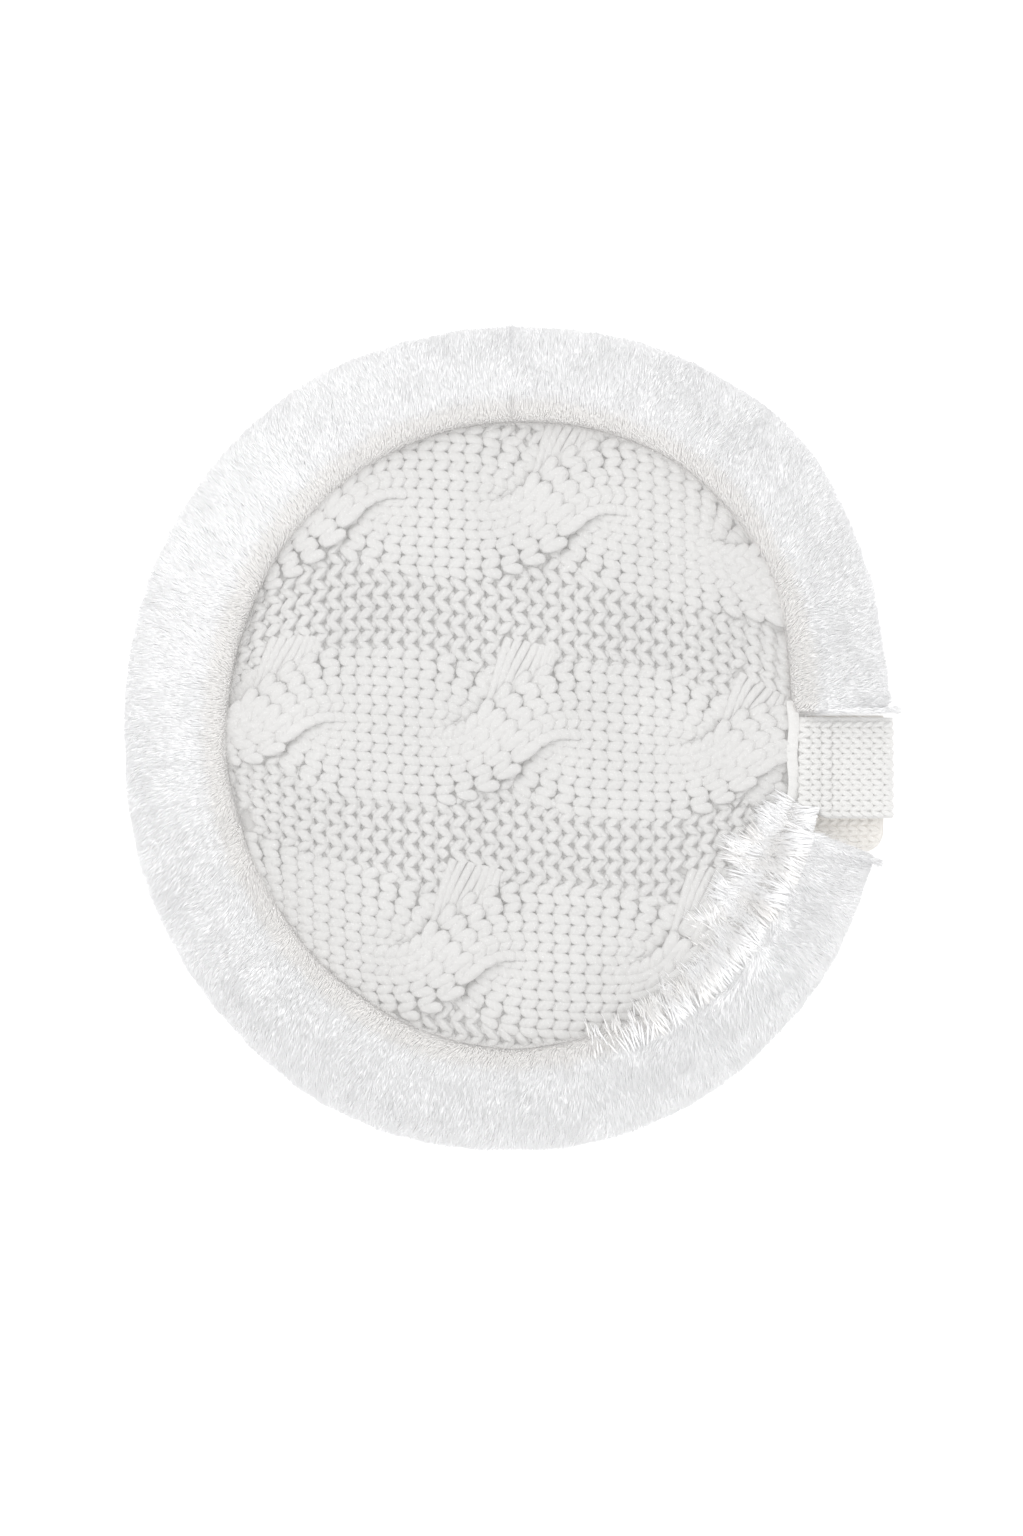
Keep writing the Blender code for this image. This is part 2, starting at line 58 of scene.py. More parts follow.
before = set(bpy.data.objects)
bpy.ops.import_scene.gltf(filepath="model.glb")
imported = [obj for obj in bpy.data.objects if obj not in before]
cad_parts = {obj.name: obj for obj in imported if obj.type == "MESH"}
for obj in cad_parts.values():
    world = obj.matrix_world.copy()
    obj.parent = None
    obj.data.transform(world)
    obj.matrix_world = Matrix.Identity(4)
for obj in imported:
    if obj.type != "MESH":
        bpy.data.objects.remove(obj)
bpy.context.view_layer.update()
MM = 0.001


def joint_box(*nodes):
    """The lowest and highest corners round several CAD nodes."""
    corners = [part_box(name) for name in nodes]
    low = Vector([min(c[0][i] for c in corners) for i in range(3)])
    high = Vector([max(c[1][i] for c in corners) for i in range(3)])
    return low, high


ROLL_LOW, ROLL_HIGH = joint_box("fur_trim", "flap_fur_trim")
KNIT_HIGH = joint_box("knit_panel", "flap_knit_panel")[1]
TAB_LOW, TAB_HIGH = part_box("tab_knit")
TONGUE_LOW, TONGUE_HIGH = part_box("tongue_knit")
BAND_LOW, BAND_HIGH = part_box("tab_gather_band")

# The rim's outline, the knit round inside it, and where both swell or draw in
RIM_HALF_X = (TAB_HIGH.x - ROLL_LOW.x) / 2
RIM_HALF_Y = (ROLL_HIGH.y - ROLL_LOW.y) / 2
ROLL_WIDTH = 44 * MM
ROLL_HEIGHT = ROLL_HIGH.z
PANEL_CENTRE = Vector((2 * MM, 2 * MM))
PANEL_HALF_X = RIM_HALF_X - ROLL_WIDTH
PANEL_HALF_Y = RIM_HALF_Y - ROLL_WIDTH
KNIT_EDGE_Z = 13 * MM
KNIT_MID_Z = KNIT_HIGH.z
KNIT_THICK = 4 * MM
SWELL_ANGLE = math.radians(46)
DRAW_IN_ANGLE = math.radians(225)
SWELL_SPREAD = math.radians(30)

# Where the fold and the slit lie, and where the roll ends at the slit
FOLD_ANGLE = math.pi / 2
ROLL_UPPER_END_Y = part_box("flap_fur_trim_end_cap")[0].y
ROLL_LOWER_END_ANGLE = math.radians(342)
SLIT_TURN = math.radians(-17)
SLIT_SLOPE = math.tan(SLIT_TURN)

# The roll is laid a little over the knit's edge. The knit's backing lies under its stitches, and a
# gap as narrow as a seam parts its two halves.
SEAM_OVERLAP = 5 * MM
EDGE_GAP = 0.5 * MM
BACKING_DEPTH = -2.5 * MM

# Flat areas in square metres of the cloths that are not cut as rectangles
LINING_CUT = {"": 0.043, "flap_": 0.0165}

# Stitches across one strand of a cable, and how deep and how far turned in degrees their legs lie
STITCHES_ACROSS = 4
LEG_SINK = 1.4 * MM
LEG_LEAN = 23

# The fans' yarn radius, the fewest points in a chain of yarn, the share of its full size that a tuft
# is laid at, loose wisps per square metre, and the tufts of the ruffle
FAN_YARN = 2.4 * MM
RUN_FEWEST = 4
TUFT_SIZE = 0.5
WISP_DENSITY = 90000.0
RUFFLE_TUFTS = 5200


# ---------------------------------------------------------------- sizes and colours


def length_setting(name, description, default):
    return FloatProperty(name=name, description=description, default=default, unit="LENGTH")


def colour_setting(name, description, default):
    return FloatVectorProperty(
        name=name, description=description, default=default, subtype="COLOR", size=3
    )


class KnitSettings(bpy.types.PropertyGroup):
    """Sizes and colour of the cable knit."""

    wale: length_setting("Wale", "Width of a column of stitches", 8.8 * MM)
    course: length_setting("Course", "Length of a row of stitches", 7.1 * MM)
    purl_wave: length_setting("Purl wave", "Length of one wave of purl yarn", 10.8 * MM)
    purl_swing: length_setting("Purl swing", "Sideways swing of the purl yarn", 2.15 * MM)
    yarn: length_setting("Yarn", "Yarn's radius", 2.4 * MM)
    crossing: length_setting("Crossing", "Half length of a cable crossing", 42 * MM)
    fuzz: IntProperty(name="Fuzz", description="Loose fibres per square metre", default=170000, min=0)
    colour: colour_setting("Colour", "Yarn colour", (0.565, 0.560, 0.553))


class FurSettings(bpy.types.PropertyGroup):
    """Sizes and colour of the fur roll."""

    pile: length_setting("Pile", "Full length of a tuft; it is laid at half size", 13 * MM)
    skin_depth: length_setting("Skin depth", "Depth of the backing under the tips", 1.2 * MM)
    tuft_width: length_setting("Tuft width", "Half a tuft's width", 0.55 * MM)
    density: FloatProperty(name="Density", description="Tufts per square metre", default=1300000.0, min=0)
    colour: colour_setting("Colour", "Fur colour", (0.975, 0.975, 0.982))


class ClothSettings(bpy.types.PropertyGroup):
    """Colours of the lining, tapes, filling and metal."""

    lining_colour: colour_setting("Lining", "Lining colour", (0.84, 0.83, 0.80))
    tape_colour: colour_setting("Tape", "Tape colour", (0.87, 0.86, 0.84))
    filling_colour: colour_setting("Filling", "Filling colour", (0.88, 0.88, 0.87))
    metal_colour: colour_setting("Metal", "Press stud colour", (0.72, 0.72, 0.72))


class StageSettings(bpy.types.PropertyGroup):
    """Camera and light of the studio."""

    lens: FloatProperty(name="Lens", description="Focal length in mm", default=85.0)
    view_height: length_setting("View height", "Length seen along Y", 702 * MM)
    key_power: FloatProperty(name="Key light", description="Power of the soft key light", default=5.0)
    sky: FloatProperty(name="Sky", description="Strength of the even light", default=1.06)


SETTINGS = {
    "skirt_knit": KnitSettings,
    "skirt_fur": FurSettings,
    "skirt_cloth": ClothSettings,
    "skirt_stage": StageSettings,
}


# ---------------------------------------------------------------- shape of the skirt


def clamp(value, low=0.0, high=1.0):
    return max(low, min(high, value))


def heading(angle):
    """The unit vector in plan that points along an angle."""
    return Vector((math.cos(angle), math.sin(angle)))


def bulge(angle, centre, spread):
    """A smooth hump of height 1 at the centre angle, fading over the spread."""
    away = math.remainder(angle - centre, 2 * math.pi)
    return math.exp(-((away / spread) ** 2))


def oval(angle, half_x, half_y, power):
    """The radius of a superellipse at an angle from its centre."""
    across = abs(math.cos(angle) / half_x) ** power
    along = abs(math.sin(angle) / half_y) ** power
    return (across + along) ** (-1 / power)


def panel_radius(angle):
    """The knit round's radius from its own centre."""
    radius = oval(angle, PANEL_HALF_X, PANEL_HALF_Y, 2.0)
    radius += 7 * MM * bulge(angle, SWELL_ANGLE, SWELL_SPREAD)
    return radius - 2.5 * MM * bulge(angle, DRAW_IN_ANGLE, SWELL_SPREAD)


def rim_radius(angle):
    """The fur roll's outer radius from the origin."""
    radius = oval(angle, RIM_HALF_X, RIM_HALF_Y, 2.1)
    radius += 8 * MM * bulge(angle, SWELL_ANGLE, SWELL_SPREAD)
    return radius - 3 * MM * bulge(angle, DRAW_IN_ANGLE, SWELL_SPREAD)


def panel_point(angle, share=1.0):
    """The plan place at a share of the way from the knit's centre to its edge."""
    radius = panel_radius(angle) * share
    return PANEL_CENTRE + radius * heading(angle)


def share_at(x, y):
    """How far out a plan place is, from 0 at the knit's centre to 1 at its edge."""
    away = Vector((x, y)) - PANEL_CENTRE
    return away.length / panel_radius(math.atan2(away.y, away.x))


def dome_z(x, y):
    """The height of the knit's plain top surface."""
    fall = max(0.0, 1 - min(share_at(x, y), 1.0) ** 4)
    return KNIT_EDGE_Z + (KNIT_MID_Z - KNIT_EDGE_Z) * math.sqrt(fall)


def dome_normal(x, y, step=1.5 * MM, steepest=1.2):
    """The dome's normal, with its slope held back where the dome drops to its edge."""
    across = dome_z(x + step, y) - dome_z(x - step, y)
    along = dome_z(x, y + step) - dome_z(x, y - step)
    slope = Vector((across, along)) / (2 * step)
    if slope.length > steepest:
        slope *= steepest / slope.length
    return Vector((-slope.x, -slope.y, 1)).normalized()


def slit_y(x):
    return PANEL_CENTRE.y + (x - PANEL_CENTRE.x) * SLIT_SLOPE


def under_band(x, y):
    return x > BAND_LOW.x - 1.5 * MM and BAND_LOW.y < y < BAND_HIGH.y


def on_flap(x, y):
    return x > PANEL_CENTRE.x and y > slit_y(x)


def on_skirt(x, y):
    return not on_flap(x, y)


def soft_noise(x, y, z, size, seed=0.0):
    """Smooth noise from -1 to 1 with bumps of about the given size."""
    return noise.noise(Vector((x / size + seed, y / size - seed, z / size + 2 * seed)))


# ---------------------------------------------------------------- meshes and node trees


def put(target, **settings):
    """Sets several properties of one thing."""
    for key, value in settings.items():
        setattr(target, key, value)
    return target


def mesh_from(name, points, edges=(), faces=()):
    mesh = bpy.data.meshes.new(name)
    mesh.from_pydata([tuple(p) for p in points], edges, faces)
    mesh.update()
    return mesh


def add_object(name, mesh, finish=None):
    made = bpy.data.objects.new(name, mesh)
    bpy.context.scene.collection.objects.link(made)
    if finish is not None:
        mesh.materials.clear()
        mesh.materials.append(finish)
    return made


def remove(target):
    mesh = target.data
    bpy.data.objects.remove(target)
    if mesh and not mesh.users:
        bpy.data.meshes.remove(mesh)


def store(mesh, name, kind, rows, domain="POINT"):
    data = mesh.attributes.new(name, kind, domain).data
    key = "vector" if kind == "FLOAT_VECTOR" else "value"
    data.foreach_set(key, np.array(rows, np.float32).ravel())


def fresh_mesh(target):
    """The target's mesh with its modifiers applied, as a new plain mesh."""
    depsgraph = bpy.context.evaluated_depsgraph_get()
    return bpy.data.meshes.new_from_object(target.evaluated_get(depsgraph))


def baked(target, name=None):
    """Replaces the target by a plain object with its modifiers applied."""
    mesh = fresh_mesh(target)
    name = name or target.name
    remove(target)
    made = add_object(name, mesh)
    mesh.name = name
    return made


def smooth(target, degrees=60):
    target.data.shade_smooth()
    target.data.set_sharp_from_angle(angle=math.radians(degrees))
    return target


def tree_with(name, *inputs):
    """A geometry tree, its inputs' sockets by name, and add(), which gives a new node's first output."""
    tree = bpy.data.node_groups.new(name, "GeometryNodeTree")
    tree.interface.new_socket("Geometry", in_out="OUTPUT", socket_type="NodeSocketGeometry")
    for label, kind, value in (("Geometry", "Geometry", None), *inputs):
        socket = tree.interface.new_socket(label, in_out="INPUT", socket_type="NodeSocket" + kind)
        if value is not None:
            socket.default_value = value
    given = {socket.name: socket for socket in tree.nodes.new("NodeGroupInput").outputs}

    def add(kind, links=None, **settings):
        return node(tree, kind, links, **settings).outputs[0]

    return tree, given, add


def pick(sockets, name):
    """A socket by its name, or by its place when the name is a number."""
    if isinstance(name, int):
        return [s for s in sockets if s.enabled][name]
    return next(s for s in sockets if s.enabled and s.name == name)


def node(tree, kind, links=None, **settings):
    """Adds a node, sets its settings, and links or sets its inputs."""
    made = put(tree.nodes.new(kind), **settings)
    for key, value in (links or {}).items():
        socket = pick(made.inputs, key)
        if isinstance(value, bpy.types.NodeSocket):
            tree.links.new(value, socket)
        else:
            socket.default_value = value
    return made


def math_node(tree, operation, *values):
    return node(tree, "ShaderNodeMath", dict(enumerate(values)), operation=operation).outputs[0]


def attribute_of(tree, name, kind="FLOAT_VECTOR"):
    return node(tree, "GeometryNodeInputNamedAttribute", {"Name": name}, data_type=kind).outputs[0]


def end_tree(tree, points, shape, turn, scale, material):
    """Sets the shape on every point and ends the tree."""
    shape = node(tree, "GeometryNodeObjectInfo", {"Object": shape}).outputs["Geometry"]
    placed = node(
        tree,
        "GeometryNodeInstanceOnPoints",
        {"Points": points, "Instance": shape, "Rotation": turn, "Scale": scale},
    ).outputs[0]
    finish_tree(tree, placed, material)
    return tree


def finish_tree(tree, geometry, material):
    real = node(tree, "GeometryNodeRealizeInstances", {"Geometry": geometry}).outputs[0]
    smoothed = node(tree, "GeometryNodeSetShadeSmooth", {"Geometry": real}).outputs[0]
    painted = node(tree, "GeometryNodeSetMaterial", {"Geometry": smoothed, "Material": material})
    tree.links.new(painted.outputs[0], tree.nodes.new("NodeGroupOutput").inputs[0])


def stitch_tree(name):
    """Sets a copy of one shape on every point, aimed and sized by the point's attributes."""
    tree, given, add = tree_with(name, ("Shape", "Object", None), ("Material", "Material", None))
    turn = add(
        "FunctionNodeAxesToRotation",
        {"Primary Axis": attribute_of(tree, "up"), "Secondary Axis": attribute_of(tree, "aim")},
        primary_axis="Z", secondary_axis="X",
    )
    points = add("GeometryNodeMeshToPoints", {"Mesh": given["Geometry"]})
    return end_tree(tree, points, given["Shape"], turn, attribute_of(tree, "size"), given["Material"])


def yarn_tree(name):
    """Turns every chain of edges into a yarn with closed ends."""
    tree, given, add = tree_with(
        name, ("Radius", "Float", 2 * MM), ("Sides", "Int", 8), ("Material", "Material", None)
    )
    curve = add("GeometryNodeMeshToCurve", {"Mesh": given["Geometry"]})
    ring = add(
        "GeometryNodeCurvePrimitiveCircle", {"Resolution": given["Sides"], "Radius": given["Radius"]}
    )
    named = []
    for geometry, label, measure in ((curve, "along", "Length"), (ring, "around", "Factor")):
        value = node(tree, "GeometryNodeSplineParameter").outputs[measure]
        links = {"Geometry": geometry, "Name": label, "Value": value}
        named.append(add("GeometryNodeStoreNamedAttribute", links, data_type="FLOAT", domain="POINT"))
    links = {"Curve": named[0], "Profile Curve": named[1], "Fill Caps": True}
    tube = add("GeometryNodeCurveToMesh", {**links, "Scale": attribute_of(tree, "thick", "FLOAT")})
    finish_tree(tree, tube, given["Material"])
    return tree


def pile_tree(name):
    """Scatters tufts over a surface, laid along its comb attribute."""
    tree, given, add = tree_with(
        name,
        ("Shape", "Object", None), ("Density", "Float", 100000.0), ("Size", "Float", TUFT_SIZE),
        ("Spread", "Float", 0.35), ("Seed", "Int", 1), ("Material", "Material", None),
    )
    density = math_node(tree, "MULTIPLY", given["Density"], attribute_of(tree, "cover", "FLOAT"))
    scatter = node(
        tree,
        "GeometryNodeDistributePointsOnFaces",
        {"Mesh": given["Geometry"], "Density": density, "Seed": given["Seed"]},
    )
    anywhere = {"Min": (-1, -1, -1), "Max": (1, 1, 1), "Seed": 3}
    jitter = add("FunctionNodeRandomValue", anywhere, data_type="FLOAT_VECTOR")
    jitter = add("ShaderNodeVectorMath", {0: jitter, "Scale": given["Spread"]}, operation="SCALE")
    comb = add("ShaderNodeVectorMath", {0: attribute_of(tree, "comb"), 1: jitter}, operation="ADD")
    lean = add("ShaderNodeVectorMath", {0: jitter, "Scale": 0.6}, operation="SCALE")
    up = add("ShaderNodeVectorMath", {0: scatter.outputs["Normal"], 1: lean}, operation="ADD")
    turn = add(
        "FunctionNodeAxesToRotation", {"Primary Axis": up, "Secondary Axis": comb},
        primary_axis="Z", secondary_axis="X",
    )
    grown = math_node(tree, "MULTIPLY", given["Size"], attribute_of(tree, "length", "FLOAT"))
    scale = add("ShaderNodeCombineXYZ", {"X": grown, "Y": 1.0, "Z": grown})
    points = scatter.outputs["Points"]
    return end_tree(tree, points, given["Shape"], turn, scale, given["Material"])


TREES = {"Stitches": stitch_tree, "Yarn": yarn_tree, "Pile": pile_tree}


def run_tree(source, kind, name, **values):
    """A tree's result on a source object, as a new plain object. The source is removed."""
    tree = bpy.data.node_groups.get(kind) or TREES[kind](kind)
    modifier = source.modifiers.new(kind, "NODES")
    modifier.node_group = tree
    for item in tree.interface.items_tree:
        if item.item_type == "SOCKET" and item.in_out == "INPUT" and item.name in values:
            modifier[item.identifier] = values[item.name]
    return baked(source, name)


def lay_pile(base, name, finish, shape, density, spread, seed):
    """Covers a combed surface with copies of a tuft. The surface is removed."""
    return run_tree(
        base, "Pile", name,
        Shape=shape, Density=float(density), Size=TUFT_SIZE, Spread=spread, Seed=seed, Material=finish,
    )


def stitch_points(rows):
    """Points for the stitch tree, from rows of place, aim, up and size."""
    places, *columns = zip(*rows)
    mesh = mesh_from("stitch_places", places)
    for label, values in zip(("aim", "up", "size"), columns):
        store(mesh, label, "FLOAT_VECTOR", values)
    return add_object("stitch_places", mesh)


def tube_faces(rings, sides):
    """The quads round a tube whose points are given ring by ring."""
    faces = []
    for low in range(0, (rings - 1) * sides, sides):
        for side in range(sides):
            after = (side + 1) % sides
            faces.append((low + side, low + after, low + sides + after, low + sides + side))
    return faces


def outward(mesh):
    work = bmesh.new()
    work.from_mesh(mesh)
    bmesh.ops.recalc_face_normals(work, faces=work.faces)
    work.to_mesh(mesh)
    work.free()
    return mesh


def tuft_shape(length, rise, radius, name="tuft", flat=1.0, rings=((0.0, 1.0), (0.5, 0.8))):
    """A three-sided tapering tuft that leaves the surface and lies over towards +X."""
    points = []
    for step, width in rings:
        x = length * step ** 1.3
        z = rise * math.sin(step * math.pi / 2)
        for turn in (90, 210, 330):
            y = radius * width * math.cos(math.radians(turn))
            points.append((x, y, z + flat * radius * width * math.sin(math.radians(turn))))
    tip = len(points)
    points.append((length, 0, rise))
    faces = [(2, 1, 0)]
    for low in range(0, tip, 3):
        for side in range(3):
            after = (side + 1) % 3
            above = (tip,) if low + 3 == tip else (low + 3 + after, low + 3 + side)
            faces.append((low + side, low + after, *above))
    return add_object(name, outward(mesh_from(name, points, (), faces)))


def leg_shape(length, width, height, bow, name="stitch_leg"):
    """One leg of a stitch: a fat curved capsule along +X with its yarn places stored."""
    sides, rings = 8, 5
    points, along, around = [], [], []
    for ring in range(rings):
        step = (ring + 0.5) / rings
        swell = math.sqrt(max(0.0, 1 - (2 * step - 1) ** 4))
        for side in range(sides):
            turn = 2 * math.pi * side / sides
            x = length * (step - 0.5)
            y = width / 2 * swell * math.cos(turn) + bow * (math.sin(math.pi * step) - 0.5)
            z = height / 2 * swell * math.sin(turn) + height * 0.3 * math.sin(math.pi * step)
            points.append((x, y, z))
            along.append(length * step)
            around.append(side / sides)
    first, last, top = len(points), len(points) + 1, (rings - 1) * sides
    points += [(-length * 0.5, -bow * 0.5, 0), (length * 0.5, -bow * 0.5, 0)]
    faces = tube_faces(rings, sides)
    for side in range(sides):
        after = (side + 1) % sides
        faces += [(first, after, side), (last, top + side, top + after)]
    mesh = outward(mesh_from(name, points, (), faces))
    store(mesh, "along", "FLOAT", [*along, 0, length])
    store(mesh, "around", "FLOAT", [*around, 0, 0])
    return add_object(name, mesh)


# ---------------------------------------------------------------- finishes


# Turns of the plies in a metre of yarn, and how many plies it has
PLY_TURNS = 170.0
PLY_COUNT = 3.0


def start_finish(name, constants):
    """A new material, its tree and its shader, with constant values on the shader's own sockets."""
    made = bpy.data.materials.new(name)
    made.use_nodes = True
    shader = made.node_tree.nodes["Principled BSDF"]
    for label, value in constants.items():
        shader.inputs[label].default_value = value
    return made, made.node_tree, shader


def painted_glow(colour, strength):
    """Painted glow: the finish gives off a little light in its own colour, which lightens the shade in its
    hollows.
    """
    return {"Emission Color": (*colour, 1), "Emission Strength": strength}


def object_noise(tree, scale, detail=3.0, roughness=0.55, stretch=None):
    """Noise on the piece's own coordinates."""
    place = node(tree, "ShaderNodeTexCoord").outputs["Object"]
    if stretch:
        place = node(tree, "ShaderNodeMapping", {"Vector": place, "Scale": stretch}).outputs[0]
    links = {"Vector": place, "Scale": scale, "Detail": detail, "Roughness": roughness}
    return node(tree, "ShaderNodeTexNoise", links).outputs["Fac"]


def stored(tree, name):
    return node(tree, "ShaderNodeAttribute", attribute_name=name).outputs["Fac"]


def ramp(tree, value, low, high, at=(0.3, 0.7), middle=None):
    """A colour ramp of two stops, or three with a middle place and colour."""
    made = node(tree, "ShaderNodeValToRGB", {"Fac": value})
    if middle:
        made.color_ramp.elements.new(middle[0]).color = (*middle[1], 1)
    first, last = made.color_ramp.elements[0], made.color_ramp.elements[-1]
    first.position, last.position = at
    first.color, last.color = (*low, 1), (*high, 1)
    return made.outputs["Color"]


def shade(colour, factor):
    return tuple(clamp(c * factor) for c in colour)


def bump(tree, height, distance, strength=1.0, under=None):
    links = {"Height": height, "Distance": distance, "Strength": strength}
    if under is not None:
        links["Normal"] = under
    return node(tree, "ShaderNodeBump", links).outputs[0]


def dress(tree, shader, **sockets):
    """Links patterns to the shader's sockets."""
    for label, pattern in sockets.items():
        tree.links.new(pattern, shader.inputs[label.replace("_", " ")])


def knit_finish(name, colour):
    """Soft twisted yarn: plies across it, fine fibres, painted pale glints, slightly warmer patches and a
    painted glow.
    """
    made, tree, shader = start_finish(name, {
        "Roughness": 0.88, "Sheen Weight": 0.25, "Sheen Roughness": 0.5, "Specular IOR Level": 0.2,
        **painted_glow(colour, 0.26),
    })
    along = math_node(tree, "MULTIPLY", stored(tree, "along"), PLY_TURNS)
    around = math_node(tree, "MULTIPLY", stored(tree, "around"), PLY_COUNT)
    turns = math_node(tree, "ADD", along, around)
    plies = math_node(tree, "SINE", math_node(tree, "MULTIPLY", turns, 2 * math.pi))
    coat = bump(tree, plies, 0.18 * MM, 0.8)
    coat = bump(tree, object_noise(tree, 1980.0, 4.0, 0.7), 0.35 * MM, 0.7, coat)
    tint = ramp(tree, object_noise(tree, 28.0, 2.0), shade(colour, 0.97), shade(colour, 1.03))
    # Painted highlight: sparse pale specks screened onto the base colour stand for glints of light.
    painted_glints = ramp(tree, object_noise(tree, 2600.0, 0.0), (0, 0, 0), (0.6, 0.6, 0.6), (0.74, 0.80))
    mixed = node(
        tree, "ShaderNodeMix", {"Factor": 1.0, "A": tint, "B": painted_glints}, data_type="RGBA", blend_type="SCREEN"
    ).outputs["Result"]
    dress(tree, shader, Base_Color=mixed, Normal=coat)
    return made


def fur_finish(name, colour):
    """Silky pale fibre, streaked a little greyer along the lie of the pile, with a painted warm shade at the
    seam and a painted glow.
    """
    made, tree, shader = start_finish(
        name, {"Roughness": 0.8, "Specular IOR Level": 0.15, **painted_glow(colour, 0.13)}
    )
    # Painted shade: the warm beige at tone 0 stands for the shade in the seam valley between roll and knit.
    painted_seam_shade = (0.90, 0.885, 0.87)
    middle = (0.3, shade(colour, 0.95))
    tint = ramp(tree, stored(tree, "tone"), painted_seam_shade, shade(colour, 1.015), (0.0, 0.75), middle)
    dress(tree, shader, Base_Color=tint)
    return made


def weave_finish(name, colour, pitch):
    """A plain weave: two crossing rows of threads, with a little slub in the colour."""
    made, tree, shader = start_finish(name, {"Roughness": 0.85, "Sheen Weight": 0.15})
    place = node(tree, "ShaderNodeTexCoord").outputs["Object"]
    split = node(tree, "ShaderNodeSeparateXYZ", {"Vector": place})
    waves = []
    for axis in ("X", "Y"):
        turn = math_node(tree, "MULTIPLY", split.outputs[axis], 2 * math.pi / pitch)
        waves.append(math_node(tree, "ABSOLUTE", math_node(tree, "SINE", turn)))
    normal = bump(tree, math_node(tree, "MAXIMUM", *waves), 0.12 * MM, 0.8)
    normal = bump(tree, object_noise(tree, 900.0), 0.1 * MM, 0.5, normal)
    slub = object_noise(tree, 120.0, 3.0, 0.6, (1.0, 6.0, 1.0))
    tint = ramp(tree, slub, shade(colour, 0.94), shade(colour, 1.03))
    dress(tree, shader, Base_Color=tint, Normal=normal)
    return made


def batting_finish(name, colour):
    """Matted white fibres."""
    made, tree, shader = start_finish(name, {"Roughness": 1.0})
    strands = object_noise(tree, 420.0, 5.0, 0.7)
    tint = ramp(tree, strands, shade(colour, 0.9), shade(colour, 1.05))
    dress(tree, shader, Base_Color=tint, Normal=bump(tree, strands, 0.8 * MM, 0.9))
    return made


def metal_finish(name, colour):
    """Bright plating with fine scratches from use."""
    made, tree, shader = start_finish(name, {"Metallic": 1.0})
    scratches = object_noise(tree, 900.0, 2.0, 0.6, (1.0, 8.0, 1.0))
    worn = node(tree, "ShaderNodeMapRange", {"Value": scratches, "To Min": 0.22, "To Max": 0.42})
    tint = ramp(tree, scratches, shade(colour, 0.92), shade(colour, 1.04))
    normal = bump(tree, scratches, 0.02 * MM, 0.4)
    dress(tree, shader, Roughness=worn.outputs[0], Base_Color=tint, Normal=normal)
    return made


def finish_named(name):
    """The finish with this name, made when it is first asked for."""
    scene = bpy.context.scene
    cloth = scene.skirt_cloth
    makers = {
        "knit yarn": (knit_finish, scene.skirt_knit.colour),
        "tab yarn": (knit_finish, (0.65, 0.645, 0.635)),
        # Painted shade: the tongue's warm beige yarn tint stands for the shade it lies in under the tab.
        "tongue yarn": (knit_finish, (0.69, 0.67, 0.64)),
        "fur pile": (fur_finish, scene.skirt_fur.colour),
        "lining cotton": (weave_finish, cloth.lining_colour, 0.9 * MM),
        "woven tape": (weave_finish, cloth.tape_colour, 0.6 * MM),
        "batting": (batting_finish, cloth.filling_colour),
        "plated metal": (metal_finish, cloth.metal_colour),
    }
    maker, colour, *rest = makers[name]
    return bpy.data.materials.get(name) or maker(name, tuple(colour), *rest)


# ---------------------------------------------------------------- soft copies of CAD solids


def shift(target, rule):
    """Moves each point of a mesh by the offset that the rule gives for its place."""
    for vertex in target.data.vertices:
        vertex.co += Vector(rule(*vertex.co))
    target.data.update()
    return target


def soft_copy(cad_node, name, finish, longest, rule=None, degrees=60):
    """A CAD solid with its doubles merged, its long edges divided and its points moved by a rule."""
    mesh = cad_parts[cad_node].data.copy()
    work = bmesh.new()
    work.from_mesh(mesh)
    bmesh.ops.remove_doubles(work, verts=work.verts, dist=0.01 * MM)
    bmesh.ops.dissolve_limit(work, angle_limit=math.radians(2), verts=work.verts, edges=work.edges)
    bmesh.ops.triangulate(work, faces=work.faces)
    for _ in range(7):
        long_edges = [e for e in work.edges if e.calc_length() > longest]
        if not long_edges:
            break
        bmesh.ops.subdivide_edges(work, edges=long_edges, cuts=1)
        bmesh.ops.triangulate(work, faces=[f for f in work.faces if len(f.verts) > 3])
    bmesh.ops.recalc_face_normals(work, faces=work.faces)
    work.to_mesh(mesh)
    work.free()
    mesh.name = name
    made = add_object(name, mesh, finish_named(finish))
    if rule:
        shift(made, rule)
    return smooth(made, degrees)


def puff(target, voxel, pressure, cap, frames=20):
    """Swells a closed soft shape with a short cloth simulation, and caps how far a point moves."""
    put(target.modifiers.new("even", "REMESH"), mode="VOXEL", voxel_size=voxel)
    target = baked(target)
    start = np.array([v.co for v in target.data.vertices])
    scene = bpy.context.scene
    scene.frame_set(1)
    cloth = target.modifiers.new("stuffing", "CLOTH")
    settings = put(
        cloth.settings,
        quality=4, mass=0.3, tension_stiffness=8, compression_stiffness=8, bending_stiffness=1.5,
        use_pressure=True, uniform_pressure_force=pressure,
    )
    settings.effector_weights.gravity = 0
    put(cloth.point_cache, frame_start=1, frame_end=frames)
    for number in range(1, frames + 1):
        scene.frame_set(number)
    moved = fresh_mesh(target)
    step = np.array([v.co for v in moved.vertices]) - start
    bpy.data.meshes.remove(moved)
    target.modifiers.remove(cloth)
    scene.frame_set(1)
    reach = np.linalg.norm(step, axis=1, keepdims=True)
    step *= np.minimum(1.0, cap / np.maximum(reach, 1e-9))
    target.data.vertices.foreach_set("co", (start + step).astype(np.float32).ravel())
    target.data.update()
    return smooth(target)


def subdivide(target, levels=1):
    put(target.modifiers.new("rounded", "SUBSURF"), levels=levels, render_levels=levels)
    return smooth(baked(target))


def cut_with(target, cutter, operation):
    cut = target.modifiers.new("cut", "BOOLEAN")
    put(cut, object=cutter, operation=operation, solver="EXACT")
    return baked(target)


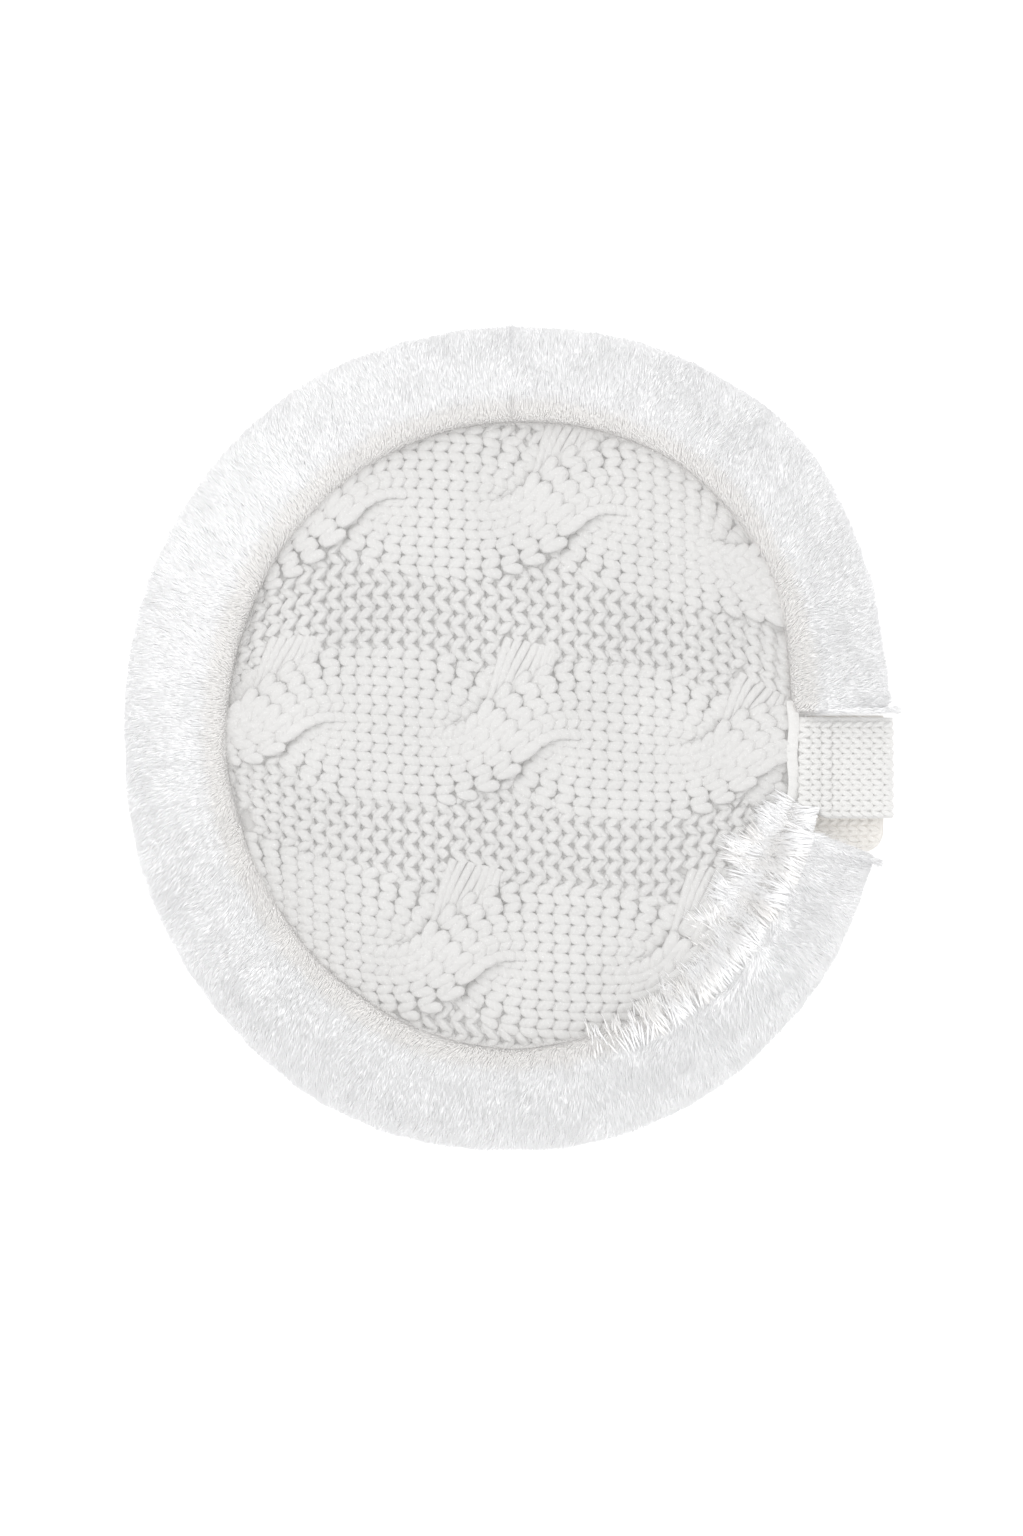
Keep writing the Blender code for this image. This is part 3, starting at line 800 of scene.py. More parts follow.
def box_object(low, high):
    work = bmesh.new()
    bmesh.ops.create_cube(work, size=1)
    for vertex in work.verts:
        vertex.co = Vector([low[i] + (vertex.co[i] + 0.5) * (high[i] - low[i]) for i in range(3)])
    mesh = bpy.data.meshes.new("cutter")
    work.to_mesh(mesh)
    work.free()
    return add_object("cutter", mesh)


def fit(pieces, cad_node, body):
    """Pieces stand for a CAD node, which is hidden, and ride on a body; pieces for the fold or the tab root
    keep their place in the world.
    """
    for piece in pieces:
        if body == "fold":
            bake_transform(piece)
        elif body == "tab root":
            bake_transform(piece)
        else:
            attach(piece, body)
        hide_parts(cad_node)


def half_of(flap):
    """The body name that fit() gets for a half's soft layers: "skirt" for the skirt's, "fold" for the flap's.
    """
    return "fold" if flap else "skirt"


# ---------------------------------------------------------------- knit


# Each cable: its middle line, its first crossing and the distance between crossings.
CABLES = (
    (3 * MM, -108 * MM, 107.5 * MM),
    (108 * MM, -80 * MM, 100.5 * MM),
    (-100 * MM, -136 * MM, 110 * MM),
)
SKEW = -0.075
END_DROP = 0.27
END_REACH = 121 * MM

# Fans of stretched yarn above each crossing: from foot to top, leaning right, with a hole at the top left.
FAN_FOOT = 7 * MM
FAN_TOP = 42 * MM
FAN_SLANT = 12.5 * MM
FAN_HALF = 9 * MM
FAN_HOLE = (1.2 * MM, 42 * MM)
FAN_YARNS = 7
FAN_POINTS = 24

# Purl yarns: the distance between their points, and how many lie on each side of the middle
PURL_STEP = 1.2 * MM
PURL_REACH = 135


def plan_of(course, wale):
    """The plan place of a point of the knit, which sags a little to the right and droops at its ends."""
    droop = END_DROP * (course / END_REACH) ** 4
    return Vector((course, wale + SKEW * course - wale * min(droop, 0.5)))


def knit_of(x, y):
    """The course and wale of a plan place, the other way from plan_of()."""
    droop = END_DROP * (x / END_REACH) ** 4
    return Vector((x, (y - SKEW * x) / (1 - min(droop, 0.5))))


def knit_place(course, wale, lift):
    """A point of the knit on the dome, raised along the dome's normal."""
    plan = plan_of(course, wale)
    normal = dome_normal(plan.x, plan.y)
    return Vector((plan.x, plan.y, dome_z(plan.x, plan.y))) + normal * lift


def crossings(first, spacing):
    found = []
    place = first - spacing
    while place < PANEL_HALF_X + spacing:
        found.append(place)
        place += spacing
    return found


def crossing_places():
    return [(crossing, middle) for middle, first, spacing in CABLES for crossing in crossings(first, spacing)]


def strand_middle(course, middle, crossing, front, knit):
    """The wale of a strand's middle line at a course near a crossing, and the line's slope."""
    step = clamp((course - crossing) / knit.crossing, -1.0)
    share = math.copysign(1 - (1 - abs(step)) ** 3, step)
    steep = 3 * (1 - abs(step)) ** 2 / knit.crossing
    sign = 1 if front else -1
    return middle + sign * share * 2 * knit.wale, sign * steep * 2 * knit.wale


def cable_lines(knit):
    """Every strand's middle line as course, wale, slope, height and half width, one row per course."""
    rows = []
    for middle, first, spacing in CABLES:
        for crossing in crossings(first, spacing):
            for front in (True, False):
                count = int(spacing / knit.course)
                for i in range(-count // 2, count // 2 + 1):
                    course = crossing + i * spacing / count
                    if not -spacing / 2 < course - crossing <= spacing / 2:
                        continue
                    wale, slope = strand_middle(course, middle, crossing, front, knit)
                    close = max(0.0, 1 - abs(course - crossing) / (0.8 * knit.crossing))
                    narrow = 1 - 0.2 * close
                    lift = (2.4 if front else -1.8) * MM * close ** 0.7 if close else 0.0
                    rows.append((course, wale, slope, lift, narrow, front, close, middle))
    return rows


def cable_legs(knit, lines):
    """Two legs for each stitch of the cables: place, run, hand, height, stretch, and whether in front."""
    front_lines = np.array([(r[0], r[1]) for r in lines if r[5]])
    front_close = np.array([r[6] for r in lines if r[5]])
    legs = []
    for course, wale, slope, lift, narrow, front, close, middle in lines:
        run = Vector((1, slope)).normalized()
        side = Vector((-run.y, run.x))
        stretch = math.sqrt(1 + slope * slope)
        for k in range(STITCHES_ACROSS):
            column = k - (STITCHES_ACROSS - 1) / 2
            offset = column * knit.wale * narrow
            for hand in (-1, 1):
                spot = Vector((course, wale)) + side * (offset + hand * 0.25 * knit.wale * narrow)
                if not front and close > 0.05:
                    away = np.hypot(front_lines[:, 0] - spot.x, front_lines[:, 1] - spot.y)
                    near = int(np.argmin(away))
                    if away[near] < 1.4 * knit.wale and front_close[near] > 0.05:
                        continue
                crown = 1 - (column * 0.45) ** 2
                arch = 1 - min(1.0, abs(spot.y - middle) / (4.3 * knit.wale)) ** 2
                height = lift + 0.9 * MM * crown * close + 1.6 * MM * arch
                legs.append((spot, run, hand, height, stretch, front))
    return legs


def leg_points(legs, keep):
    """Points for the stitch tree from the legs that show and pass keep(x, y)."""
    rows = []
    for spot, run, hand, height, stretch, front in legs:
        plan = plan_of(spot.x, spot.y)
        if share_at(plan.x, plan.y) > 1.0 or under_band(*plan) or not keep(plan.x, plan.y):
            continue
        if in_fan(spot) and not front:
            continue
        wobble = soft_noise(spot.x, spot.y, hand, 4 * MM, 3.1)
        lean = math.radians(LEG_LEAN + 4 * wobble) * hand / stretch
        ahead = Matrix.Rotation(lean, 2) @ run
        here = knit_place(spot.x, spot.y, height - LEG_SINK + 0.25 * MM * wobble)
        there = knit_place(spot.x + ahead.x * 2 * MM, spot.y + ahead.y * 2 * MM, height - LEG_SINK)
        aim = (there - here).normalized()
        up = (dome_normal(plan.x, plan.y) - aim * 0.10).normalized()
        broad = 1 + 0.3 * (stretch - 1) + 0.06 * wobble
        rows.append((here, aim, up, (1 + 1.1 * (stretch - 1), hand * broad, 1 + 0.05 * wobble)))
    return stitch_points(rows)


def in_fan(spot):
    """Whether a place lies under one of the fans of stretched yarn beside the crossings."""
    for crossing, middle in crossing_places():
        rise = (spot.y - middle - FAN_FOOT) / (FAN_TOP - FAN_FOOT)
        if -0.1 < rise < 1.0 and abs(spot.x - crossing - FAN_SLANT * rise) < FAN_HALF:
            return True
    return False


def fan_runs():
    """The stretched yarns at the upper right of every crossing, as chains of points."""
    runs = []
    for crossing, middle in crossing_places():
        for i in range(FAN_YARNS):
            place = i / (FAN_YARNS - 1) - 0.5
            foot = Vector((crossing - 1 * MM + 20 * MM * place, middle + FAN_FOOT + 9 * MM * place))
            top = crossing + FAN_SLANT + 1 * MM + 21 * MM * place
            head = Vector((top, middle + FAN_TOP - 3 * MM * place))
            owner = plan_of(*((foot + head) / 2))
            run = []
            for j in range(FAN_POINTS + 1):
                step = j / FAN_POINTS
                spot = foot.lerp(head, step)
                spot.x += 0.9 * MM * math.sin(5 * step + i) + 1.6 * MM * math.sin(math.pi * step) * place
                plan = plan_of(spot.x, spot.y)
                if share_at(plan.x, plan.y) > 0.98:
                    break
                depth = -0.6 * MM + 0.8 * MM * math.sin(math.pi * step) - 1.2 * MM * step * step
                run.append((spot, owner, depth))
            if len(run) >= RUN_FEWEST:
                runs.append(run)
    return runs


def purl_runs(knit, lines, lower):
    """Chains of points for the purl yarns. The lower set lies half a course aside and mirrored."""
    middles = np.array([(r[0], r[1], 2 * knit.wale * r[4]) for r in lines])
    holes = [Vector((c + FAN_HOLE[0], m + FAN_HOLE[1])) for c, m in crossing_places()]
    runs = []
    count = int(2 * PANEL_HALF_X / knit.course) + 6
    aside = 0.5 if lower else 0.0
    for i in range(-count // 2, count // 2 + 1):
        course = (i + aside) * knit.course
        run = []
        for j in range(-PURL_REACH, PURL_REACH + 1):
            wale = j * PURL_STEP
            drift = 0.25 * math.sin(wale / (40 * MM)) + 0.3 * math.sin(course / (33 * MM))
            phase = 2 * math.pi * (wale / knit.purl_wave + drift)
            wave = math.sin(phase) + 0.12 * math.sin(3 * phase + math.pi)
            swing = knit.purl_swing * (-0.8 if lower else 1)
            swing *= 1 + 0.2 * soft_noise(course, wale, 0, 14 * MM, 7.0)
            spot = Vector((course + swing * wave, wale))
            plan = plan_of(course, wale)
            away = np.hypot(middles[:, 0] - spot.x, middles[:, 1] - spot.y) - middles[:, 2]
            covered = float(away.min())
            open_here = share_at(plan.x, plan.y) < 0.985 and covered > -3.2 * MM and not in_fan(spot)
            open_here = open_here and not under_band(*plan)
            open_here = open_here and all((spot - hole).length > 2.9 * MM for hole in holes)
            if open_here:
                depth = -1.5 * MM - (1.35 * MM if lower else 0.0)
                depth -= clamp(0.5 - covered / (6 * MM)) * 1.2 * MM
                depth += 0.45 * MM * math.cos(2 * phase)
                run.append((spot, plan, depth))
            elif run:
                runs.append(run)
                run = []
        if run:
            runs.append(run)
    return [run for run in runs if len(run) >= RUN_FEWEST]


def chain_object(runs, keep):
    """A mesh of edge chains from runs of (spot, plan, depth), cut where keep(x, y) stops."""
    points, edges, thick = [], [], []
    for run in runs:
        last = None
        for spot, plan, depth in run:
            if not keep(plan.x, plan.y):
                last = None
                continue
            points.append(knit_place(spot.x, spot.y, depth))
            thick.append(1 + 0.07 * soft_noise(spot.x, spot.y, 0, 5 * MM))
            if last is not None:
                edges.append((last, len(points) - 1))
            last = len(points) - 1
    used = sorted({i for edge in edges for i in edge})
    order = {old: new for new, old in enumerate(used)}
    mesh = mesh_from("chains", [points[i] for i in used], [(order[a], order[b]) for a, b in edges])
    store(mesh, "thick", "FLOAT", [thick[i] for i in used])
    return add_object("chains", mesh)


def edge_run():
    """The yarn along the knit's edge, where it is sewn to the roll."""
    plans = [panel_point(math.radians(turn), 0.985) for turn in range(361)]
    return [(knit_of(*plan), plan, -1.0 * MM) for plan in plans]


def add_fuzz(sources, name, finish, density, seed):
    """Loose fibres on the yarn, as a piece of their own."""
    joined = bmesh.new()
    for source in sources:
        joined.from_mesh(source.data)
    mesh = bpy.data.meshes.new("fuzz_base")
    joined.to_mesh(mesh)
    joined.free()
    count = len(mesh.vertices)
    generator = np.random.default_rng(seed)
    store(mesh, "comb", "FLOAT_VECTOR", generator.uniform(-1, 1, (count, 3)) * (1, 1, 0.4))
    store(mesh, "length", "FLOAT", np.ones(count))
    normals = np.zeros(count * 3, np.float32)
    mesh.vertices.foreach_get("normal", normals)
    store(mesh, "cover", "FLOAT", (normals.reshape(-1, 3)[:, 2] > 0.2).astype(np.float32))
    fibre = tuft_shape(3.6 * MM, 2.1 * MM, 0.05 * MM, "fibre")
    made = lay_pile(add_object("fuzz_base", mesh), name, finish, fibre, density, 0.8, seed)
    remove(fibre)
    return made


def backing_rule(beds):
    """The rule that shapes the knit's backing: close under the stitches, deeper under the purl columns."""
    tree = KDTree(len(beds))
    for i, (plan, _) in enumerate(beds):
        tree.insert((*plan, 0), i)
    tree.balance()

    def rule(x, y, z):
        bottom = dome_z(x, y) - KNIT_THICK
        share = clamp((z - bottom) / KNIT_THICK)
        _, found, away = tree.find((x, y, 0))
        near = max(0.0, 1 - away / (7 * MM))
        top = BACKING_DEPTH + near * (beds[found][1] - BACKING_DEPTH)
        aside = PANEL_CENTRE.x - x
        across = 1.6 * aside if abs(aside) < EDGE_GAP and y > PANEL_CENTRE.y else 0.0
        apart = slit_y(x) - y
        along = 1.6 * apart if abs(apart) < EDGE_GAP and x > PANEL_CENTRE.x else 0.0
        return across, along, share * top

    return rule


class SKIRT_OT_knit(bpy.types.Operator):
    """Knit the cables and purl columns over the dome, for the skirt and its flap"""

    bl_idname = "tree_skirt.knit"
    bl_label = "Cable Knit"

    def execute(self, context):
        knit = context.scene.skirt_knit
        yarn = finish_named("knit yarn")
        lines = cable_lines(knit)
        legs = cable_legs(knit, lines)
        fans = fan_runs()
        beds = [(plan_of(*leg[0]), leg[3] - 1.15 * MM) for leg in legs]
        beds += [(plan_of(*spot), depth - 0.4 * MM) for run in fans for spot, _, depth in run]
        yarns = (
            ("knit_purl", purl_runs(knit, lines, False), knit.yarn, 8),
            ("knit_fans", [*fans, edge_run()], FAN_YARN, 8),
            ("knit_purl_back", purl_runs(knit, lines, True), knit.yarn * 0.95, 6),
        )
        leg = leg_shape(1.42 * knit.course, 0.62 * knit.wale, 2.8 * MM, 0.0)
        for seed, prefix, keep in ((5, "", on_skirt), (6, "flap_", on_flap)):
            cad_node = prefix + "knit_panel"
            cables = prefix + "knit_cables"
            pieces = [run_tree(leg_points(legs, keep), "Stitches", cables, Shape=leg, Material=yarn)]
            for name, runs, radius, sides in yarns:
                values = {"Radius": radius, "Sides": sides, "Material": yarn}
                pieces.append(run_tree(chain_object(runs, keep), "Yarn", prefix + name, **values))
            backing = soft_copy(cad_node, prefix + "knit_backing", "knit yarn", 3.2 * MM, backing_rule(beds))
            fuzz = add_fuzz(pieces[:2], prefix + "knit_fuzz", yarn, knit.fuzz, seed)
            fit([*pieces, backing, fuzz], cad_node, half_of(prefix))
        remove(leg)
        return {"FINISHED"}


# ---------------------------------------------------------------- fur


# Where the fur near the roll's lower end is combed inwards over the knit, and how far the pile's
# sectors reach past the fold and the roll's ends, in radians
RUFFLE_ANGLE = math.radians(316)
RUFFLE_SPREAD = math.radians(20)
SECTOR_MARGIN = 0.05


def roll_section(angle, inset):
    """Where the roll's cross-section lies at an angle: its middle, outward direction and half sizes."""
    inner = panel_point(angle) + 0.6 * MM * heading(angle)
    outer = rim_radius(angle) * heading(angle)
    run = (outer - inner).normalized()
    return (inner + outer) / 2, run, (outer - inner).length / 2 - inset, ROLL_HEIGHT / 2 - inset


def roll_skin(inset, start, finish, steps=170, around=30):
    """A closed tube along the rim, with low lumps as soft stuffing has."""
    points = []
    for i in range(steps + 1):
        angle = start + (finish - start) * i / steps
        middle, run, half_width, half_height = roll_section(angle, inset)
        middle = middle - run * (0.8 * inset + SEAM_OVERLAP / 2)
        half_width += SEAM_OVERLAP / 2
        lump = 0.5 * MM * math.sin(9 * angle + 0.6) + 0.4 * MM * math.sin(17 * angle)
        for j in range(around):
            turn = 2 * math.pi * j / around
            radius = oval(turn, half_width, half_height, 2.2)
            radius += lump * max(0.0, math.sin(turn) + 0.4)
            plan = middle + run * radius * math.cos(turn)
            points.append((plan.x, plan.y, ROLL_HEIGHT / 2 + radius * math.sin(turn)))
    faces = tube_faces(steps + 1, around)
    faces += [tuple(range(around)), tuple(range(steps * around, (steps + 1) * around))]
    return outward(mesh_from("roll", points, (), faces))


def angle_at(x, y):
    """The angle of a plan place round the knit's centre, from 0 to a full turn."""
    return math.atan2(y - PANEL_CENTRE.y, x - PANEL_CENTRE.x) % (2 * math.pi)


def comb_fur(mesh):
    """Stores how the pile lies on each point of the skin: direction, length, cover and tone. The tone falls
    to nothing on the inner flank, as painted shade at the seam.
    """
    combs, lengths, covers, tones = [], [], [], []
    for vertex in mesh.vertices:
        x, y, z = vertex.co
        angle = angle_at(x, y)
        middle, run, half_width, _ = roll_section(angle, 0.0)
        across = (Vector((x, y)) - middle).dot(run) / half_width
        ruffle = bulge(angle, RUFFLE_ANGLE, RUFFLE_SPREAD)
        sideways = Vector((-run.y, run.x))
        swirl = 0.6 * soft_noise(x, y, z, 26 * MM, 1.0) + 0.25 * soft_noise(x, y, z, 9 * MM, 5.0)
        lean = 1.0 if across > -0.75 else max(0.1, 1 + (across + 0.75) * 4.0)
        turned = ruffle * clamp(-0.1 - across)
        lean = lean * (1 - turned) - 1.1 * turned
        steep = -0.35 * max(0.0, across) * clamp((z - 9 * MM) / (10 * MM), -0.6)
        if across < -0.75:
            steep = 0.9
        flow = run * (lean + 0.15) + sideways * (swirl + 0.35 * math.sin(2.2 * angle))
        combs.append(Vector((flow.x, flow.y, steep)) + vertex.normal * 0.05)
        low = 0.5 + 0.5 * bulge(angle, math.radians(290), math.radians(75))
        clump = 1 + 0.28 * soft_noise(x, y, z, 9 * MM, 8.0)
        near_floor = clamp(z / (18 * MM), 0.2)
        lengths.append(near_floor * clump * (0.82 + 0.25 * low + 0.3 * ruffle * (across < 0)))
        covers.append(0.0 if z < 4 * MM else 0.45 if z < 10 * MM else 1.0)
        streak = noise.noise(Vector((70 * angle, 1.5 * across, 3.0)))
        streak += noise.noise(Vector((24 * angle, 1.2 * across, 9.0)))
        # Painted shade: on the roll's inner flank the tone falls to nothing, which gives its tufts the warm
        # seam shade colour.
        tones.append(max(0.3, 0.6 + 0.4 * streak) * (1 - clamp(-(across + 0.7) * 4)))
    store(mesh, "comb", "FLOAT_VECTOR", combs)
    for label, rows in (("length", lengths), ("cover", covers), ("tone", tones)):
        store(mesh, label, "FLOAT", rows)


def ruffle_object(count, seed):
    """Places for the tufts at the roll's lower end that lie inwards over the knit."""
    generator = np.random.default_rng(seed)
    rows, tones = [], []
    while len(rows) < count:
        angle = math.radians(generator.uniform(284, 347))
        fullness = bulge(angle, math.radians(326), RUFFLE_SPREAD)
        if generator.uniform(0, 1) > 1.5 * fullness:
            continue
        reach = 15 * MM * fullness * (1 + 0.9 * noise.noise(Vector((9 * angle, 2, 0))))
        back = 10 * MM - (reach + 10 * MM) * generator.uniform(0, 1) ** 1.2
        run = heading(angle)
        plan = panel_point(angle) + run * back
        slope = 1.5 if angle < ROLL_LOWER_END_ANGLE else 0.4
        lift = 1.6 * MM + 1.5 * MM * generator.uniform(0, 1) + slope * max(0.0, back + 2 * MM)
        here = Vector((plan.x, plan.y, dome_z(plan.x, plan.y) + lift))
        sway = 0.9 * noise.noise(Vector((26 * angle, 60 * back, 0))) + 0.25 * generator.uniform(-1, 1)
        aim = Vector((-run.x - sway * run.y, -run.y + sway * run.x, 0)).normalized()
        up = dome_normal(plan.x, plan.y) + Vector((0, 0, 0.6)) + 0.2 * Vector(generator.uniform(-1, 1, 3))
        size = (generator.uniform(0.5, 1.0), 1, generator.uniform(0.7, 1.3))
        rows.append((here, aim, up.normalized(), size))
        # The ruffle's tones run lower than the roll's: its tufts take the greyer streak colour, and where the
        # tone falls below zero, the painted seam shade colour.
        tones.append(0.2 + 0.6 * noise.noise(Vector((14 * angle, 120 * back, 5.0))))
    made = stitch_points(rows)
    store(made.data, "tone", "FLOAT", tones)
    return made


def sector_of(mesh, low, high):
    """The faces of a skin between two angles, as an object of their own."""
    work = bmesh.new()
    work.from_mesh(mesh)
    middles = [(face, face.calc_center_median()) for face in work.faces]
    doomed = [face for face, middle in middles if not low <= angle_at(middle.x, middle.y) < high]
    bmesh.ops.delete(work, geom=doomed, context="FACES")
    part = bpy.data.meshes.new("sector")
    work.to_mesh(part)
    work.free()
    return add_object("sector", part)


class SKIRT_OT_fur(bpy.types.Operator):
    """Stuff the fur roll and lay its pile"""

    bl_idname = "tree_skirt.fur"
    bl_label = "Fur Roll"

    def execute(self, context):
        fur = context.scene.skirt_fur
        pile = finish_named("fur pile")
        start = math.asin((ROLL_UPPER_END_Y + 1.5 * MM) / (RIM_HALF_X - ROLL_WIDTH / 2)) - 0.01
        skin = add_object("roll", roll_skin(fur.skin_depth + 0.4 * MM, start, ROLL_LOWER_END_ANGLE))
        skin = subdivide(puff(skin, 4.5 * MM, 4.0, 2.5 * MM))
        cutter = box_object((PANEL_CENTRE.x, 0, -0.05), (0.4, 0.4, 0.1))
        twin = cut_with(add_object("flap_fur_skin", skin.data.copy()), cutter, "INTERSECT")
        skin.name = "fur_skin"
        skin = cut_with(skin, cutter, "DIFFERENCE")
        remove(cutter)
        tuft = tuft_shape(fur.pile, 0.12 * fur.pile, fur.tuft_width, "tuft", 0.3, ((0.0, 1.0),))
        wisp = tuft_shape(1.1 * fur.pile, 0.5 * fur.pile, 0.09 * MM, "wisp")
        past_end = ROLL_LOWER_END_ANGLE + SECTOR_MARGIN
        marks = [FOLD_ANGLE + (past_end - FOLD_ANGLE) * i / 5 for i in range(6)]
        marks[0] -= SECTOR_MARGIN
        halves = (("", skin, marks), ("flap_", twin, [0.0, FOLD_ANGLE / 2, FOLD_ANGLE + SECTOR_MARGIN]))
        for prefix, base, marks in halves:
            smooth(base)
            base.data.materials.clear()
            base.data.materials.append(pile)
            comb_fur(base.data)
            pieces = [base]
            for i, (low, high) in enumerate(zip(marks, marks[1:])):
                sector, name = sector_of(base.data, low, high), f"{prefix}fur_pile_{i + 1}"
                pieces.append(lay_pile(sector, name, pile, tuft, fur.density, 0.12, 11 + i))
            whole = add_object("whole", base.data.copy())
            pieces.append(lay_pile(whole, prefix + "fur_wisps", pile, wisp, WISP_DENSITY, 0.6, 31))
            if not prefix:
                lock = tuft_shape(15 * MM, 1.6 * MM, 0.7 * MM, "lock", 0.35)
                places = ruffle_object(RUFFLE_TUFTS, 77)
                pieces.append(run_tree(places, "Stitches", "fur_ruffle", Shape=lock, Material=pile))
                remove(lock)
            fit(pieces, prefix + "fur_trim", half_of(prefix))
        remove(wisp)
        for cad_node, body in (("fur_trim_end_cap", "skirt"), ("flap_fur_trim_end_cap", "slit_flap")):
            cap = soft_copy(cad_node, cad_node + "_fur", "fur pile", 4 * MM)
            comb_fur(cap.data)
            nap = add_object("nap", cap.data.copy())
            nap = lay_pile(nap, cad_node + "_pile", pile, tuft, 0.8 * fur.density, 0.3, 41)
            fit([cap, nap], cad_node, body)
        remove(tuft)
        return {"FINISHED"}


# ---------------------------------------------------------------- filling, lining, tapes


def batting_rule(x, y, z):
    """Batting's uneven surface, a little inside its covers."""
    depth = 0.5 * MM * soft_noise(x, y, z, 7 * MM, 2.0)
    return depth * 0.4, depth * 0.4, depth - 0.5 * MM if z > 4 * MM else 0.2 * MM


def crease_rule(x, y, z):
    """Low creases in the lining."""
    return 0, 0, 0.15 * MM * (1 + soft_noise(x, y, 0, 22 * MM, 4.0))


def ripple_rule(x, y, z):
    """Small ripples in a sewn tape."""
    return 0, 0, 0.1 * MM * soft_noise(x, y, 0, 6 * MM, 6.0)


class SKIRT_OT_filling(bpy.types.Operator):
    """Fill the roll and pad the round with batting"""

    bl_idname = "tree_skirt.filling"
    bl_label = "Filling"

    def execute(self, context):
        for cad_node in ("wadding", "flap_wadding", "fur_trim_filling", "flap_fur_trim_filling"):
            pad = soft_copy(cad_node, cad_node + "_batting", "batting", 5 * MM, batting_rule)
            fit([pad], cad_node, half_of(cad_node.startswith("flap_")))
        return {"FINISHED"}


class SKIRT_OT_lining(bpy.types.Operator):
    """Lay the lining under the round"""

    bl_idname = "tree_skirt.lining"
    bl_label = "Lining"

    def execute(self, context):
        for prefix, area in LINING_CUT.items():
            name = prefix + "lining"
            cloth = soft_copy(name, name + "_cloth", "lining cotton", 5 * MM, crease_rule)
            fit([cloth], name, half_of(prefix))
        return {"FINISHED"}


class SKIRT_OT_tapes(bpy.types.Operator):
    """Bind the trunk opening and the slit with tape"""

    bl_idname = "tree_skirt.tapes"
    bl_label = "Tapes"

    def execute(self, context):
        for cad_node in ("trunk_binding", "flap_trunk_binding", "slit_underlap", "flap_slit_facing"):
            strip = soft_copy(cad_node, cad_node + "_tape", "woven tape", 4 * MM, ripple_rule, 45)
            fit([strip], cad_node, half_of(cad_node.startswith("flap_")))
            "slit" in cad_node
        return {"FINISHED"}


# ---------------------------------------------------------------- tab and studs


def tab_line():
    """The CAD tab's own highest point at a row of places along X, as two lists."""
    points = np.array([v.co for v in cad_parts["tab_knit"].data.vertices])
    xs = [float(x) for x in np.unique(np.round(points[:, 0], 4))]
    return xs, [float(points[np.abs(points[:, 0] - x) < 1.7 * MM][:, 2].max()) for x in xs]


def small_knit(name, outline, height_at, pitch, wale, finish, keep):
    """Plain stitches on a surface z = height_at(x, y) inside a box, as one piece."""
    placed = []
    low, high = outline
    rows = max(1, int((high[0] - low[0]) / pitch))
    columns = max(1, int((high[1] - low[1]) / wale))
    step = 1 * MM
    for i in range(rows):
        for j in range(columns):
            for hand in (-1, 1):
                x = low[0] + (i + 0.5) * pitch
                wobble = soft_noise(x, j * 0.7, hand, 3 * MM, 2.0)
                y = low[1] + (j + 0.5 + 0.25 * hand) * wale + 0.3 * MM * wobble
                if not keep(x, y):
                    continue
                rise = (height_at(x + step, y) - height_at(x - step, y)) / (2 * step)
                rise = clamp(rise, -3.0, 3.0)
                aim = Vector((1, 0.3 * hand, rise)).normalized()
                up = Vector((-rise, 0, 1)).normalized()
                here = (x, y, height_at(x, y) - 0.6 * MM)
                placed.append((here, aim, up, (1 + 0.1 * wobble, hand, 1)))
    leg = leg_shape(1.5 * pitch, 0.56 * wale, 2.0 * MM, 0.2 * MM, "small_leg")
    made = run_tree(stitch_points(placed), "Stitches", name, Shape=leg, Material=finish)
    remove(leg)
    return made


